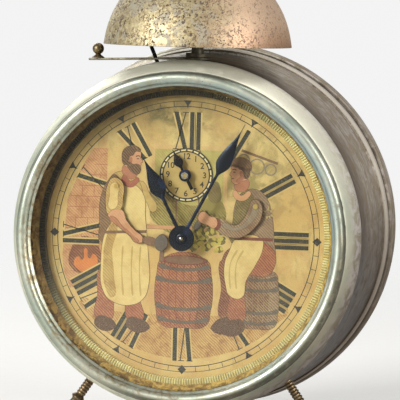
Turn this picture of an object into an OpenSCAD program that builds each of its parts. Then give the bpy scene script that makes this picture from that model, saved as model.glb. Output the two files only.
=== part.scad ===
// Automaton alarm clock: a round metal case on three legs, a bell on a post above it,
// a printed dial with two moving tin arms, and a wound movement with going and alarm trains.
// Drawn about the hand arbor: X to the right, Y from the dial to the back, Z up.

/* [Dial and glass] */
// Radius of the dial that shows inside the sight ring
dial_r = 51; // [48:0.5:54]
// Thickness of the dial plate
dial_t = 0.8; // [0.5:0.1:1.5]
// Width of the milled sight ring
sight_w = 2; // [1.5:0.1:3]
// Height of the sight ring in front of the dial
sight_h = 3.4; // [2.6:0.1:4.5]
// Width of the sloping reflector ring
reflector_w = 2.4; // [1.8:0.1:4]
// Thickness of the sheet of reflector and sight ring
sheet_t = 0.5; // [0.3:0.05:0.7]
// Room between dial and glass for the hands
hand_room = 8.4; // [7.6:0.1:11]
// Thickness of the glass
glass_t = 1.4; // [1:0.1:2.5]
// Height of the alarm hand's arbor above the hand arbor
alarm_up = 22.3; // [21.6:0.1:24]

/* [Case] */
// Radius of the rolled bead that holds the glass
roll_r = 2.05; // [1.6:0.05:2.6]
// Width of the sloping lip inside that bead, in front of the glass
lip_w = 0.9; // [0.5:0.1:1.4]
// How far the bezel's tube reaches into the case
bezel_tube = 6; // [4:0.5:9]
// Wall of the bezel's tube
bezel_wall = 1; // [0.6:0.1:1.5]
// Width of the front shoulder, from bezel to widest part
shoulder_w = 4.2; // [3:0.1:6]
// Depth of the front shoulder
shoulder_d = 12.2; // [10:0.1:16]
// Depth of the groove behind the front shoulder
groove_d = 0.9; // [0.5:0.1:1.5]
// Length from the front shoulder to the groove
groove_l = 8; // [5:0.1:10]
// How far the case flares behind the groove
flare = 3.2; // [2:0.1:5]
// Length of the flared part
flare_l = 36.8; // [34:0.2:45]
// Height of the rear bead above the flare
rear_bead_h = 1.3; // [0.8:0.1:2]
// Length of the rear bead
rear_bead_l = 10; // [8:0.5:13]
// Height of the back rim above the flare
rim_h = 2.7; // [2.4:0.1:4]
// Length of the back rim
rim_l = 10; // [9:0.5:14]
// Wall of the case
wall = 0.8; // [0.6:0.05:1.2]
// Thickness of the back cover
cover_t = 1; // [0.8:0.1:1.6]

/* [Bell and stop lever] */
// Radius of the bell at its rim
bell_r = 34.2; // [30:0.2:38]
// Height of the bell
bell_h = 31; // [28:0.5:35]
// Wall of the bell
bell_wall = 1.2; // [0.8:0.1:1.8]
// How far the bell's lip flares out
bell_lip = 0.7; // [0.3:0.1:1.2]
// Gap between the top of the case and the bell's rim
bell_lift = 4.7; // [4:0.1:7]
// Distance of the bell's post behind the dial
bell_y = 16.4; // [15.5:0.1:17.5]
// Radius of the bell's post
post_r = 2.2; // [1.8:0.1:3]
// Radius of the post's threaded ends
stud_r = 1.6; // [1.2:0.1:1.7]
// Length of the stop lever from the post to its tip
lever_l = 40.5; // [38:0.5:46]
// Width of the stop lever
lever_w = 4.6; // [3.5:0.1:5.2]
// Thickness of the stop lever
lever_t = 0.8; // [0.6:0.1:1.2]
// Downward slope of the stop lever in degrees
lever_droop = 2; // [0:0.5:3]
// Radius of the stop lever's ball
knob_ball_r = 2.1; // [1.6:0.1:2.4]
// Radius of the hammer's rod
hammer_rod_r = 0.7; // [0.5:0.05:1]
// Radius of the hammer's head
hammer_head_r = 4; // [3:0.1:4.5]

/* [Legs] */
// Angle of the front legs from straight down
splay = 34; // [30:0.5:38]
// Length of a front leg outside the case
leg_l = 26; // [20:0.5:34]
// Radius of the threaded part of a leg
leg_r = 1.75; // [1.4:0.05:2.2]
// Pitch of the leg's thread
leg_pitch = 1.2; // [0.9:0.1:1.6]
// Radius of a ball foot
foot_r = 3.6; // [3:0.1:4.5]
// Distance of the front legs behind the dial
leg_y = 19; // [17:0.5:24]

/* [Hands and arms] */
// Length of the minute hand
minute_l = 46.9; // [43:0.1:47.5]
// Length of the hour hand
hour_l = 33.5; // [30:0.1:36]
// Length of the alarm hand
alarm_l = 10.2; // [8:0.1:11]
// Angle of the minute hand from twelve
minute_angle = 28; // [0:1:45]
// Angle of the hour hand from twelve
hour_angle = -27.7; // [-45:0.1:0]
// Thickness of the hands
hand_t = 0.5; // [0.3:0.05:0.6]
// Thickness of the tin arms
arm_t = 0.4; // [0.3:0.05:0.6]
// Length of the cranks behind the dial
crank_l = 14; // [12:0.5:16]
// Length of the rocker that drives both cranks
rocker_l = 20; // [17:0.5:21]

/* [Movement] */
// Distance of the front plate behind the dial's face
front_plate_y = 11; // [10.6:0.1:12]
// Thickness of the plates
plate_t = 1.4; // [1:0.1:2]
// Space between the plates
plate_gap = 32; // [31:0.5:34]
// Radius of the plates' pillars
pillar_r = 3; // [2.6:0.1:3.3]
// Radius of the winding arbors
winding_r = 2.5; // [2:0.1:2.8]
// Radius of a mainspring when wound
spring_r = 15; // [12:0.5:15.5]
// Radius of the balance wheel
balance_r = 11; // [9:0.5:11.4]
// Thickness of the train wheels
wheel_t = 1.2; // [0.8:0.1:1.6]
// Tooth size of the great wheel and its pinion
great_module = 0.9; // [0.88:0.01:0.92]

/* [Hidden] */
$fn = 64;

// Running clearance on the radius, seat clearance and end play
fit = 0.05;
seat = 0.05;
play = 0.3;
// How far a cut runs past the surface that it opens
past = 1;

// Case: radii and depths, each from the one before it
sight_r = dial_r + sight_w;
glass_open_r = sight_r + reflector_w;
glass_r = glass_open_r + 0.8;
bezel_r = glass_open_r + 2 * roll_r;
mouth_r = bezel_r + fit;
bead_r = mouth_r + shoulder_w;
groove_r = bead_r - groove_d;
flare_r = groove_r + flare;
glass_y = -hand_room - glass_t;
roll_y = glass_y - 0.8;
mouth_y = roll_y + 0.3;
front_y = roll_y - roll_r;
bead_y = mouth_y + shoulder_d;
groove_y = bead_y + groove_l;
flare_y = groove_y + flare_l;
step_l = 1.6;
step_h = 0.5;
step_foot = 0.1;
// Bends of the front shoulder, the groove, the flare and the back rim
shoulder_bend = 0.62;
groove_bend = 3;
flare_bend = 1.7;
rim_bend = 0.8;
rear_bead_y = flare_y + step_l;
rim_start_y = rear_bead_y + rear_bead_l;
back_y = rim_start_y + rim_l;
inner_back_r = flare_r - wall;
rim_base_h = 0.4;
cover_r = flare_r + rim_base_h;
cover_y = back_y - 4.4;
dial_plate_r = glass_r + 1;

// Movement: levels from front to back
front_in = front_plate_y + plate_t;
back_in = front_in + plate_gap;
back_out = back_in + plate_t;
great_y = front_in + 1;
great_t = 2;
spring_y = great_y + great_t + 1.6;
spring_w = 20;
centre_wheel_y = back_in - 4.4;
third_wheel_y = back_in - 11.4;
escape_y = front_in + 12.6;
pallet_y = escape_y + wheel_t + 1;
balance_y = front_in + 5.6;
hairspring_y = balance_y - 2.4;
hour_wheel_y = 4.4;
minute_y = -hand_room + 1.9;
hour_y = minute_y + 1.2;
cannon_front = minute_y + 0.2;
cannon_y = 7.2;
link_y = 1.6;
link_t = 0.5;
ratchet_y = back_out + 1.2;
ratchet_t = 1.5;

// Movement: tooth counts and sizes
great_n = 60;
centre_pinion_n = 10;
centre_n = 64;
train_pinion_n = 8;
third_n = 48;
escape_n = 15;
alarm_great_n = 44;
alarm_pinion_n = 8;
alarm_escape_n = 24;
cannon_n = 12;
minute_n = 36;
minute_pinion_n = 10;
hour_n = 40;
centre_module = 0.45;
third_module = 0.5;
alarm_module = 1;
hour_module = alarm_up / hour_n;
motion_dist = hour_module * (hour_n + minute_pinion_n) / 2;
cannon_module = 2 * motion_dist / (cannon_n + minute_n);
escape_r = 9;
// Tooth shares of the pitch at root, pitch circle and tip, then addendum and dedendum in modules
wheel_tooth = [0.62, 0.44, 0.20, 0.85, 1.35];
leaf_tooth = [0.36, 0.36, 0.24, 0.6, 1.35];

// Movement: places of the arbors as [x, z]
function from(p, d, a) = [p[0] + d * cos(a), p[1] + d * sin(a)];
centre_at = [0, 0];
main_dist = great_module * (great_n + centre_pinion_n) / 2;
main_a = -12;
time_at = from(centre_at, main_dist, main_a);
alarm_main_at = from(centre_at, main_dist, 180 - main_a);
third_a = -90;
third_at = from(centre_at, centre_module * (centre_n + train_pinion_n) / 2, third_a);
escape_a = -60;
escape_at = from(third_at, third_module * (third_n + train_pinion_n) / 2, escape_a);
pallet_a = 215;
pallet_at = from(escape_at, 10.8, pallet_a);
balance_a = 225;
balance_gap = 13.2;
balance_at = from(pallet_at, balance_gap, balance_a);
alarm_at = [0, alarm_up];
alarm_escape_a = 75;
alarm_escape_at = from(alarm_main_at, alarm_module * (alarm_great_n + alarm_pinion_n) / 2, alarm_escape_a);
hammer_at = [-12, 32];
minute_a = -30;
minute_at = from(centre_at, motion_dist, minute_a);
left_pivot = [-25.2, 17.6];
right_pivot = [25.7, 12];
rocker_tip = [pallet_at[0], pallet_at[1] + rocker_l];
left_pin = [left_pivot[0], left_pivot[1] - crank_l];
right_pin = [right_pivot[0], right_pivot[1] - crank_l];
pillar_depth_r = 50;
top_pillar_at = [0, 37];
left_pillar_at = from(centre_at, pillar_depth_r, -90 - splay);
right_pillar_at = from(centre_at, pillar_depth_r, -90 + splay);
pillars_at = [[-36, 28], [36, 28], top_pillar_at, left_pillar_at, right_pillar_at];
dial_feet_r = 38;
dial_feet_at = [for (a = [100, 200, 318]) from(centre_at, dial_feet_r, a)];

// Rotation of a second gear so that it meshes with the first, a the direction between them
function mesh(a, n1, ph1, n2) = a + 180 - ((ph1 - a) * n1 / 360 + 0.5) * 360 / n2;
centre_ph = 0;
centre_pinion_ph = 90;
great_ph = mesh(main_a, centre_pinion_n, centre_pinion_ph, great_n);
third_pinion_ph = mesh(third_a, centre_n, centre_ph, train_pinion_n);
third_ph = 0;
escape_pinion_ph = mesh(escape_a, third_n, third_ph, train_pinion_n);
escape_ph = pallet_a;
alarm_great_ph = 0;
alarm_pinion_ph = mesh(alarm_escape_a, alarm_great_n, alarm_great_ph, alarm_pinion_n);
cannon_ph = 0;
minute_ph = mesh(minute_a, cannon_n, cannon_ph, minute_n);
minute_pinion_ph = 0;
hour_ph = mesh(minute_a + 180, minute_pinion_n, minute_pinion_ph, hour_n);
alarm_wheel_ph = mesh(90, hour_n, hour_ph, hour_n);

// Feet: the floor lies under the flats of the ball feet
leg_root_r = groove_r + flare * 0.1;
foot_flat = 0.5;
foot_z = -(leg_root_r + leg_l) * cos(splay);
floor_z = foot_z - foot_r + foot_flat;
rear_leg_y = rear_bead_y + rear_bead_l / 2;
rear_root_r = flare_r + rear_bead_h;

// Bell: height of its rim above the hand arbor
rim_z = bead_r + bell_lift;
apex_z = rim_z + bell_h;
lever_z = groove_r + 0.5;

// Knobs and keys behind the cover
arbor_end_y = back_y + 7;
key_hub_l = 9;
key_y = back_y + 1.6;
wing_r = 5.6;
wing_off = 9.4;
// How far the wings overlap the key's hub
wing_seat = 3;
knob_l = 6;
knob_r = 5.5;
key_end_y = key_y + key_hub_l + wing_r * 2 - wing_seat;

// The part's frame: the middle of its depth, on the floor
mid_y = (min(front_y, bell_y - bell_r) + key_end_y) / 2;
axis_h = -floor_z;

brass = [0.72, 0.58, 0.33];
nickel = [0.66, 0.65, 0.60];
steel = [0.55, 0.55, 0.56];
blued = [0.10, 0.14, 0.22];

module placed() translate([0, -mid_y, axis_h]) children();
module at(p) translate([p[0], 0, p[1]]) children();
module turned() rotate([-90, 0, 0]) rotate_extrude($fn = 128) children();
module rod(r, y0, y1) translate([0, y0, 0]) rotate([-90, 0, 0]) cylinder(r = r, h = y1 - y0);
module tube(ro, ri, y0, y1) difference() {
    rod(ro, y0, y1);
    rod(ri, y0 - past, y1 + past);
}
// How far pins and pivots stand proud of the parts that they hold
proud = 0.4;
// A flat shape drawn as seen from the dial, from depth y0 to y0 + t
module flat(y0, t) translate([0, y0 + t, 0]) rotate([90, 0, 0]) linear_extrude(t) children();
module disc(p, r) translate(p) circle(r);
module bar(p, q, w) translate(p) rotate(atan2(q[1] - p[1], q[0] - p[0]))
    translate([0, -w / 2]) square([norm(q - p), w]);

// One side of a tooth as [radius, half angle], from root to tip
function tooth_side(n, m, s) = [[m * (n / 2 - s[4]), s[0]], [m * n / 2, s[1]],
    [m * (n / 2 + 0.6 * s[3]), 0.45 * s[1] + 0.55 * s[2]], [m * (n / 2 + s[3]), s[2]]];
module gear_shape(n, m, s, ph) {
    side = tooth_side(n, m, s);
    k = len(side) - 1;
    polygon([for (i = [0:n - 1]) for (j = [0:2 * k + 1])
        let (p = j <= k ? side[j] : side[2 * k + 1 - j], h = (j <= k ? -1 : 1) * p[1] * 180 / n)
        [p[0] * cos(ph + i * 360 / n + h), p[0] * sin(ph + i * 360 / n + h)]]);
}
module saw_shape(n, r, d, ph) polygon([for (i = [0:n - 1]) for (j = [0:1])
    let (a = ph + i * 360 / n + (j == 0 ? 0 : 0.8 * 360 / n), q = j == 0 ? r : r - d)
    [q * cos(a), q * sin(a)]]);
// A wheel with four spokes
module wheel_shape(r_in, r_hub, w) difference() {
    children();
    difference() {
        circle(r_in);
        circle(r_hub);
        for (a = [0, 90]) rotate(a) square([2 * r_in, w], center = true);
    }
}
module arbor(r, pivot) {
    rod(r, front_in + play, back_in - play);
    rod(pivot, front_plate_y, back_out);
}
arbor_r = 0.9;
pivot_r = 0.6;
alarm_arbor_r = 1.2;

// Case

function shoulder_curve(o) = [for (i = [0:14]) let (t = pow(i / 14, 1.5))
    [mouth_r + shoulder_w * pow(t, shoulder_bend) - o, mouth_y + shoulder_d * t]];
function groove_curve(o) = [for (i = [1:8])
    [groove_r + groove_d * pow(1 - i / 8, groove_bend) - o, bead_y + groove_l * i / 8]];
function flare_curve(o) = [for (i = [1:8])
    [groove_r + flare * pow(i / 8, flare_bend) - o, groove_y + flare_l * i / 8]];
function step_curve() = [for (i = [0:1]) for (j = [[0.2, step_h], [0.8, step_h], [1, step_foot]])
    [flare_r + j[1], flare_y + step_l * (i + j[0]) / 2]];
function rear_curve() = [for (i = [1:9]) let (t = 180 * i / 10)
    [flare_r + step_foot + (rear_bead_h - step_foot) * sin(t), rear_bead_y + rear_bead_l * i / 10]];
function rim_curve() = [for (i = [0:12]) let (t = 90 - 180 * i / 12)
    [cover_r + (rim_h - rim_base_h) * pow(cos(t), rim_bend), rim_start_y + rim_l * (1 - sin(t)) / 2]];
module case_profile() polygon(concat(
    [[mouth_r, mouth_y + wall]],
    shoulder_curve(0), groove_curve(0), flare_curve(0), step_curve(), rear_curve(), rim_curve(),
    [[cover_r, cover_y], [inner_back_r, cover_y], [inner_back_r, flare_y]],
    [for (i = [len(flare_curve(wall)) - 2:-1:0]) flare_curve(wall)[i]],
    [for (i = [len(groove_curve(wall)) - 1:-1:0]) groove_curve(wall)[i]],
    [for (i = [len(shoulder_curve(wall)) - 1:-1:1]) if (shoulder_curve(wall)[i][0] > mouth_r)
        shoulder_curve(wall)[i]]));
hammer_y = front_in + 7.6;
slot_x = [-24, -7];
slot_w = 2 * hammer_rod_r + 2.6;
slot_cut = 12;
leg_hole_r = leg_r + 0.1;
leg_hole_l = 12;
// Turned a little, so that the hole's seam misses the joints of the bead
hole_turn = 20;
module leg_line(a) rotate([0, a, 0]) translate([0, leg_y, 0]) rotate([180, 0, 0]) children();
module case_drum() color(nickel) placed() difference() {
    turned() case_profile();
    translate([0, bell_y, groove_r - past]) cylinder(r = post_r + fit, h = 3 * past);
    translate([slot_x[0], hammer_y - slot_w / 2, groove_r - slot_cut])
        cube([slot_x[1] - slot_x[0], slot_w, slot_cut + 2 * past]);
    for (a = [-splay, splay]) leg_line(-a) translate([0, 0, groove_r - leg_hole_l / 2])
        cylinder(r = leg_hole_r, h = leg_hole_l);
    translate([0, rear_leg_y, -rear_root_r - leg_hole_l / 2]) rotate(hole_turn)
        cylinder(r = leg_hole_r, h = leg_hole_l);
}

cover_gap = 0.8;
cover_lip = 2.2;
cover_lip_w = 1.2;
cover_holes = [[time_at, winding_r + cover_gap], [alarm_main_at, winding_r + cover_gap],
    [alarm_at, alarm_arbor_r + cover_gap], [centre_at, arbor_r + cover_gap]];
screw_in = 6;
cover_screws_at = [for (a = [50, 170, 290]) from(centre_at, cover_r - screw_in, a)];
screw_r = 1.4;
screw_l = 3;
screw_head_h = 1.4;
screw_slot_w = 0.7;
screw_slot_d = 0.6;
regulator_l = 11;
regulator_a = 135;
regulator_travel = 20;
regulator_slot_r = 1.9;
module back_cover() color(nickel) placed() difference() {
    turned() polygon([[0, cover_y], [cover_r - seat, cover_y], [cover_r - seat, cover_y + cover_lip],
        [cover_r - cover_lip_w, cover_y + cover_lip], [cover_r - cover_lip_w - cover_t, cover_y + cover_t],
        [0, cover_y + cover_t]]);
    for (h = cover_holes) at(h[0]) rod(h[1], cover_y - past, cover_y + 2 * past);
    for (p = cover_screws_at) at(p) rod(screw_r + seat, cover_y - past, cover_y + 2 * past);
    at(balance_at) for (s = [-1:0.5:1]) at(from([0, 0], regulator_l - 1, regulator_a + s * regulator_travel))
        rod(regulator_slot_r, cover_y - past, cover_y + 2 * past);
}
module cover_screws() color(steel) placed() for (p = cover_screws_at) at(p) difference() {
    union() {
        rod(screw_r, cover_y - screw_l, cover_y + cover_t);
        rod(2 * screw_r, cover_y + cover_t, cover_y + cover_t + screw_head_h);
    }
    translate([-3 * screw_r, cover_y + cover_t + screw_head_h - screw_slot_d, -screw_slot_w / 2])
        cube([6 * screw_r, past, screw_slot_w]);
}
module bezel() color(nickel) placed() turned() difference() {
    union() {
        translate([glass_open_r + roll_r, roll_y]) circle(roll_r, $fn = 48);
        polygon([[glass_open_r - lip_w, glass_y], [glass_open_r - lip_w, glass_y - sheet_t / 2],
            [glass_open_r + seat, roll_y], [glass_open_r + roll_r, glass_y]]);
        translate([bezel_r - bezel_wall, roll_y]) square([bezel_wall, bezel_tube]);
    }
    translate([0, glass_y]) square([glass_r + seat, roll_r * 2]);
}
module glass() color([0.8, 0.9, 0.9, 0.3]) placed() rod(glass_r, glass_y, glass_y + glass_t);
reflector_back = -hand_room + seat;
reflector_r = glass_open_r + 0.4;
module reflector() color(brass) placed() turned() polygon([[sight_r, -sight_h], [reflector_r, reflector_back],
    [reflector_r + sheet_t, reflector_back], [sight_r + sheet_t, -sight_h]]);
module sight_ring() color(brass) placed() turned() polygon([[dial_r, -seat], [dial_r, -sight_h + seat],
    [sight_r + sheet_t, -sight_h + seat], [sight_r + sheet_t, -sight_h + seat + sheet_t],
    [dial_r + sheet_t, -sight_h + seat + sheet_t], [dial_r + sheet_t, -seat]]);

// Dial

pipe_r = 2.2;
arm_arbor_r = 0.9;
pipe_gap = 0.5;
alarm_gap = 0.3;
tear_at = [30, 9.6];
tear_r = 1.1;
dial_foot_r = 1.1;
module dial_plate() color([0.80, 0.68, 0.42]) placed() difference() {
    rod(dial_plate_r, 0, dial_t);
    rod(pipe_r + pipe_gap, -past, dial_t + past);
    at(alarm_at) rod(alarm_arbor_r + alarm_gap, -past, dial_t + past);
    for (p = [left_pivot, right_pivot]) at(p) rod(arm_arbor_r + fit, -past, dial_t + past);
    at(tear_at) rod(tear_r, -past, dial_t + past);
}
module dial_feet() color(brass) placed() for (p = dial_feet_at) at(p) rod(dial_foot_r, dial_t, front_plate_y);

// Plates

plate_top = 42;
plate_side = 40;
plate_bottom = -pillar_depth_r;
plate_r = pillar_depth_r + 4;
module plate_shape() intersection() {
    circle(plate_r);
    translate([-plate_side, plate_bottom]) square([2 * plate_side, plate_top - plate_bottom]);
}
pivots_at = [third_at, escape_at, alarm_escape_at, hammer_at];
rivet_r = 1.3;
rivet_l = 3;
nut_r = 3;
nut_h = 2;
balance_screw_r = 1.9;
winding_pivot_r = 1.2;
// How far a leg's end reaches past the middle of its pillar
leg_grip = 1;
module plate(y0, front) color(brass) placed() difference() {
    flat(y0, plate_t) plate_shape();
    for (p = pivots_at) at(p) rod(pivot_r + fit, y0 - past, y0 + plate_t + past);
    at(pallet_at) rod((front ? arbor_r : pivot_r) + fit, y0 - past, y0 + plate_t + past);
    at(centre_at) rod(arbor_r + fit, y0 - past, y0 + plate_t + past);
    at(alarm_at) rod(alarm_arbor_r + fit, y0 - past, y0 + plate_t + past);
    for (p = [time_at, alarm_main_at]) at(p)
        rod((front ? winding_pivot_r : winding_r) + fit, y0 - past, y0 + plate_t + past);
    at(balance_at) rod(balance_screw_r + seat, y0 - past, y0 + plate_t + past);
    for (p = pillars_at) at(p) rod(rivet_r + seat, y0 - past, y0 + plate_t + past);
    if (front) at(minute_at) rod(pivot_r + seat, y0 - past, y0 + plate_t + past);
}
module front_plate() plate(front_plate_y, true);
module back_plate() plate(back_in, false);
module plate_pillars() color(brass) placed() difference() {
    for (p = pillars_at) at(p) {
        rod(pillar_r, front_in, back_in);
        rod(rivet_r, front_plate_y, back_out + rivet_l);
    }
    translate([0, bell_y, top_pillar_at[1] - pillar_r - past]) cylinder(r = stud_r + seat, h = 3 * pillar_r);
    for (a = [-splay, splay]) leg_line(-a) translate([0, 0, pillar_depth_r - leg_grip - past])
        cylinder(r = leg_r + seat, h = pillar_r + leg_grip + 2 * past);
}
module plate_nuts() color(steel) placed() for (p = pillars_at) at(p) difference() {
    translate([0, back_out, 0]) rotate([-90, 0, 0]) cylinder(r = nut_r, h = nut_h, $fn = 6);
    rod(rivet_r + seat, back_out - past, back_out + rivet_l + past);
}

// Mainsprings and winding

// Rim in modules, hub beside the arbor and spokes of the great wheels
great_rim = 3.4;
great_hub_w = 4;
great_spoke_w = 5;
key_square_r = winding_r - 0.4;
spring_gap = 0.6;
ratchet_n = 16;
ratchet_r = 6.5;
ratchet_tooth = 1.1;
key_wall = 1.4;
wing_t = 2;
wing_hole_r = 1.9;
// Height of the web between the wings as a share of their radius
wing_web = 1.1;
module great_wheel(p, n, m, ph) color(brass) placed() at(p) difference() {
    flat(great_y, great_t) wheel_shape(m * (n / 2 - great_rim), winding_r + great_hub_w, great_spoke_w)
        gear_shape(n, m, wheel_tooth, ph);
    rod(winding_r + fit, great_y - past, great_y + great_t + past);
}
module winding_arbor(p) color(steel) placed() at(p) {
    rod(winding_r, front_in + play, back_out + 1);
    rod(winding_pivot_r, front_plate_y, front_in + play);
    rod(key_square_r, back_out + 1, arbor_end_y);
}
module mainspring(p) color(steel) placed() at(p)
    tube(spring_r, winding_r + spring_gap, spring_y, spring_y + spring_w);
module ratchet(p) color(steel) placed() at(p) difference() {
    flat(ratchet_y, ratchet_t) saw_shape(ratchet_n, ratchet_r, ratchet_tooth, 0);
    rod(key_square_r, ratchet_y - past, ratchet_y + ratchet_t + past);
}
module key(p) color(brass) placed() at(p) difference() {
    union() {
        rod(winding_r + key_wall, key_y, key_y + key_hub_l);
        translate([0, key_y + key_hub_l - wing_seat, -wing_t / 2]) linear_extrude(wing_t) {
            for (s = [-1, 1]) translate([s * wing_off, wing_r]) circle(wing_r);
            translate([-wing_off, 0]) square([2 * wing_off, wing_r * wing_web]);
        }
    }
    rod(key_square_r, key_y - past, arbor_end_y);
    for (s = [-1, 1]) translate([s * wing_off, key_y + key_hub_l - wing_seat + wing_r, -wing_t])
        cylinder(r = wing_hole_r, h = 2 * wing_t);
}
module time_main_wheel() great_wheel(time_at, great_n, great_module, great_ph);
module time_arbor() winding_arbor(time_at);
module time_spring() mainspring(time_at);
module time_key() key(time_at);
module time_ratchet() ratchet(time_at);
module alarm_main_wheel() great_wheel(alarm_main_at, alarm_great_n, alarm_module, alarm_great_ph);
module alarm_main_arbor() winding_arbor(alarm_main_at);
module alarm_spring() mainspring(alarm_main_at);
module alarm_key() key(alarm_main_at);
module alarm_ratchet() ratchet(alarm_main_at);
click_tip_r = 6.9;
click_reach = 7;
click_w = 1.4;
click_boss_r = 1.8;
click_pin_r = 0.9;
module clicks() color(steel) placed() for (p = [time_at, alarm_main_at]) at(p) {
    tip = from([0, 0], click_tip_r, 90);
    base = from(tip, click_reach, 30);
    flat(ratchet_y, ratchet_t) {
        bar(tip, base, click_w);
        disc(base, click_boss_r);
    }
    at(base) rod(click_pin_r, back_out, ratchet_y);
}

// Going train and hands

// Rim in modules, hub and spokes of the smaller wheels, and how far a pinion overlaps its wheel
train_rim = 3.2;
train_hub_r = 3;
train_spoke_w = 2;
pinion_over = 0.4;
motion_t = 1;
cannon_l = 2;
module train_wheel(n, m, ph, y0, t) flat(y0, t)
    wheel_shape(m * (n / 2 - train_rim), train_hub_r, train_spoke_w) gear_shape(n, m, wheel_tooth, ph);
module pinion(n, m, ph, y0, t) flat(y0, t) gear_shape(n, m, leaf_tooth, ph);
module centre_wheel() color(brass) placed() {
    rod(arbor_r, cannon_front - 1, arbor_end_y);
    train_wheel(centre_n, centre_module, centre_ph, centre_wheel_y, wheel_t);
    pinion(centre_pinion_n, great_module, centre_pinion_ph,
        great_y - pinion_over, great_t + 2 * pinion_over);
}
cannon_r = 1.5;
module cannon_pinion() color(steel) placed() difference() {
    union() {
        rod(cannon_r, cannon_front, cannon_y);
        pinion(cannon_n, cannon_module, cannon_ph, cannon_y, cannon_l);
    }
    rod(arbor_r, cannon_front - past, cannon_y + cannon_l + past);
}
// A hand with a pear shaped spade, drawn pointing up: s holds the shares of its length where the
// spade starts and ends, w the widths of spade, root and neck
spade_steps = 12;
spade_bend = 0.75;
tip_share = 0.28;
tip_l = 0.6;
hand_boss_r = 3.1;
minute_spade = [0.55, 0.78];
minute_w = [5.4, 1.4, 1.1];
hour_spade = [0.45, 0.74];
hour_w = [6, 1.5, 1.2];
function spade_side(l, s, w, side) = [for (i = [0:spade_steps]) let (t = i / spade_steps)
    [side * (w[2] + (w[0] - w[2]) * sin(180 * pow(t, spade_bend))) / 2, l * (s[0] + (s[1] - s[0]) * t)]];
module hand(l, s, w) {
    left = spade_side(l, s, w, -1);
    polygon(concat([[-w[1] / 2, 0], [w[1] / 2, 0]], spade_side(l, s, w, 1),
        [[w[2] * tip_share, l - tip_l], [0, l], [-w[2] * tip_share, l - tip_l]],
        [for (i = [spade_steps:-1:0]) left[i]]));
    circle(hand_boss_r);
}
module minute_hand() color(blued) placed() rotate([0, minute_angle, 0]) difference() {
    flat(minute_y, hand_t) hand(minute_l, minute_spade, minute_w);
    rod(cannon_r, minute_y - past, minute_y + past);
}
hub_r = 4.5;
hub_pin_r = 1.9;
hub_step = 0.5;
module hand_hub() color(blued) placed() difference() {
    union() {
        rod(hub_r, minute_y - hub_step, minute_y);
        rod(hub_pin_r, minute_y - 2 * hub_step, minute_y - hub_step);
    }
    rod(arbor_r, minute_y - 2 * past, minute_y + past);
}
knob_ribs = 36;
knob_rib_h = 0.35;
knob_rib_l = 3.5;
knob_boss_r = 3.9;
module knob(p, bore, y0) color(brass) placed() at(p) difference() {
    union() {
        translate([0, y0, 0]) rotate([-90, 0, 0]) linear_extrude(knob_rib_l)
            polygon([for (i = [0:2 * knob_ribs - 1])
                let (r = knob_r - (i % 2) * knob_rib_h, a = 180 * i / knob_ribs) [r * cos(a), r * sin(a)]]);
        rod(knob_boss_r, y0 - 1, y0 + knob_l - 1);
    }
    rod(bore, y0 - 1 - past, y0 + knob_l + past);
}
module hand_knob() knob(centre_at, arbor_r, back_y + 1);
hour_pipe_r = cannon_r + fit;
pipe_end = 1.6;
module hour_wheel() color(brass) placed() difference() {
    union() {
        train_wheel(hour_n, hour_module, hour_ph, hour_wheel_y, motion_t);
        rod(pipe_r, hour_y, hour_wheel_y + pipe_end);
    }
    rod(hour_pipe_r, hour_y - past, hour_wheel_y + 3 * past);
}
module hour_hand() color(blued) placed() rotate([0, hour_angle, 0]) difference() {
    flat(hour_y, hand_t) hand(hour_l, hour_spade, hour_w);
    rod(pipe_r, hour_y - past, hour_y + past);
}
minute_wheel_y = cannon_y + 0.4;
minute_pinion_y = hour_wheel_y - 0.2;
module minute_wheel() color(brass) placed() at(minute_at) {
    rod(pivot_r, minute_pinion_y - proud / 2, front_in - proud);
    train_wheel(minute_n, cannon_module, minute_ph, minute_wheel_y, motion_t);
    pinion(minute_pinion_n, hour_module, minute_pinion_ph, minute_pinion_y, minute_wheel_y - minute_pinion_y);
}
module third_wheel() color(brass) placed() at(third_at) {
    arbor(arbor_r, pivot_r);
    train_wheel(third_n, third_module, third_ph, third_wheel_y, wheel_t);
    pinion(train_pinion_n, centre_module, third_pinion_ph,
        centre_wheel_y - pinion_over, wheel_t + 2 * pinion_over);
}
// Escape wheels: teeth as wheel_tooth, width of the rim, hub and spokes
escape_tooth = [0.5, 0.3, 0.1, 0.85, 1.6];
escape_rim = 3.6;
escape_hub_r = 2.4;
escape_spoke_w = 1.6;
function tip_module(r, n, s) = r / (n / 2 + s[3]);
module escape_shape(r, n, s, rim, ph) wheel_shape(r - rim, escape_hub_r, escape_spoke_w)
    gear_shape(n, tip_module(r, n, s), s, ph);
module escape_wheel() color(brass) placed() at(escape_at) {
    arbor(arbor_r, pivot_r);
    pinion(train_pinion_n, third_module, escape_pinion_ph,
        third_wheel_y - pinion_over, wheel_t + 2 * pinion_over);
    flat(escape_y, wheel_t) escape_shape(escape_r, escape_n, escape_tooth, escape_rim, escape_ph);
}
pallet_pin_r = 0.35;
pallet_pin_gap = 0.25;
pallet_span = 30;
pallet_t = 0.9;
pallet_boss_r = 2;
pallet_w = 1.3;
function pallet_pin(s) = from(escape_at, escape_r + pallet_pin_r + pallet_pin_gap, pallet_a + pallet_span * s)
    - pallet_at;
fork_l = balance_gap - 4.2;
module pallet_lever() color(steel) placed() at(pallet_at) {
    rod(arbor_r, link_y, back_in - play);
    rod(pivot_r, back_in - play, back_out);
    flat(pallet_y, pallet_t) {
        circle(pallet_boss_r);
        for (s = [-1, 1]) bar([0, 0], pallet_pin(s), pallet_w);
        bar([0, 0], from([0, 0], fork_l, balance_a), pallet_w);
    }
    for (s = [-1, 1]) at(pallet_pin(s)) rod(pallet_pin_r, escape_y - proud, pallet_y + pallet_t);
}

// Rocker, links, cranks and tin arms

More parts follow.
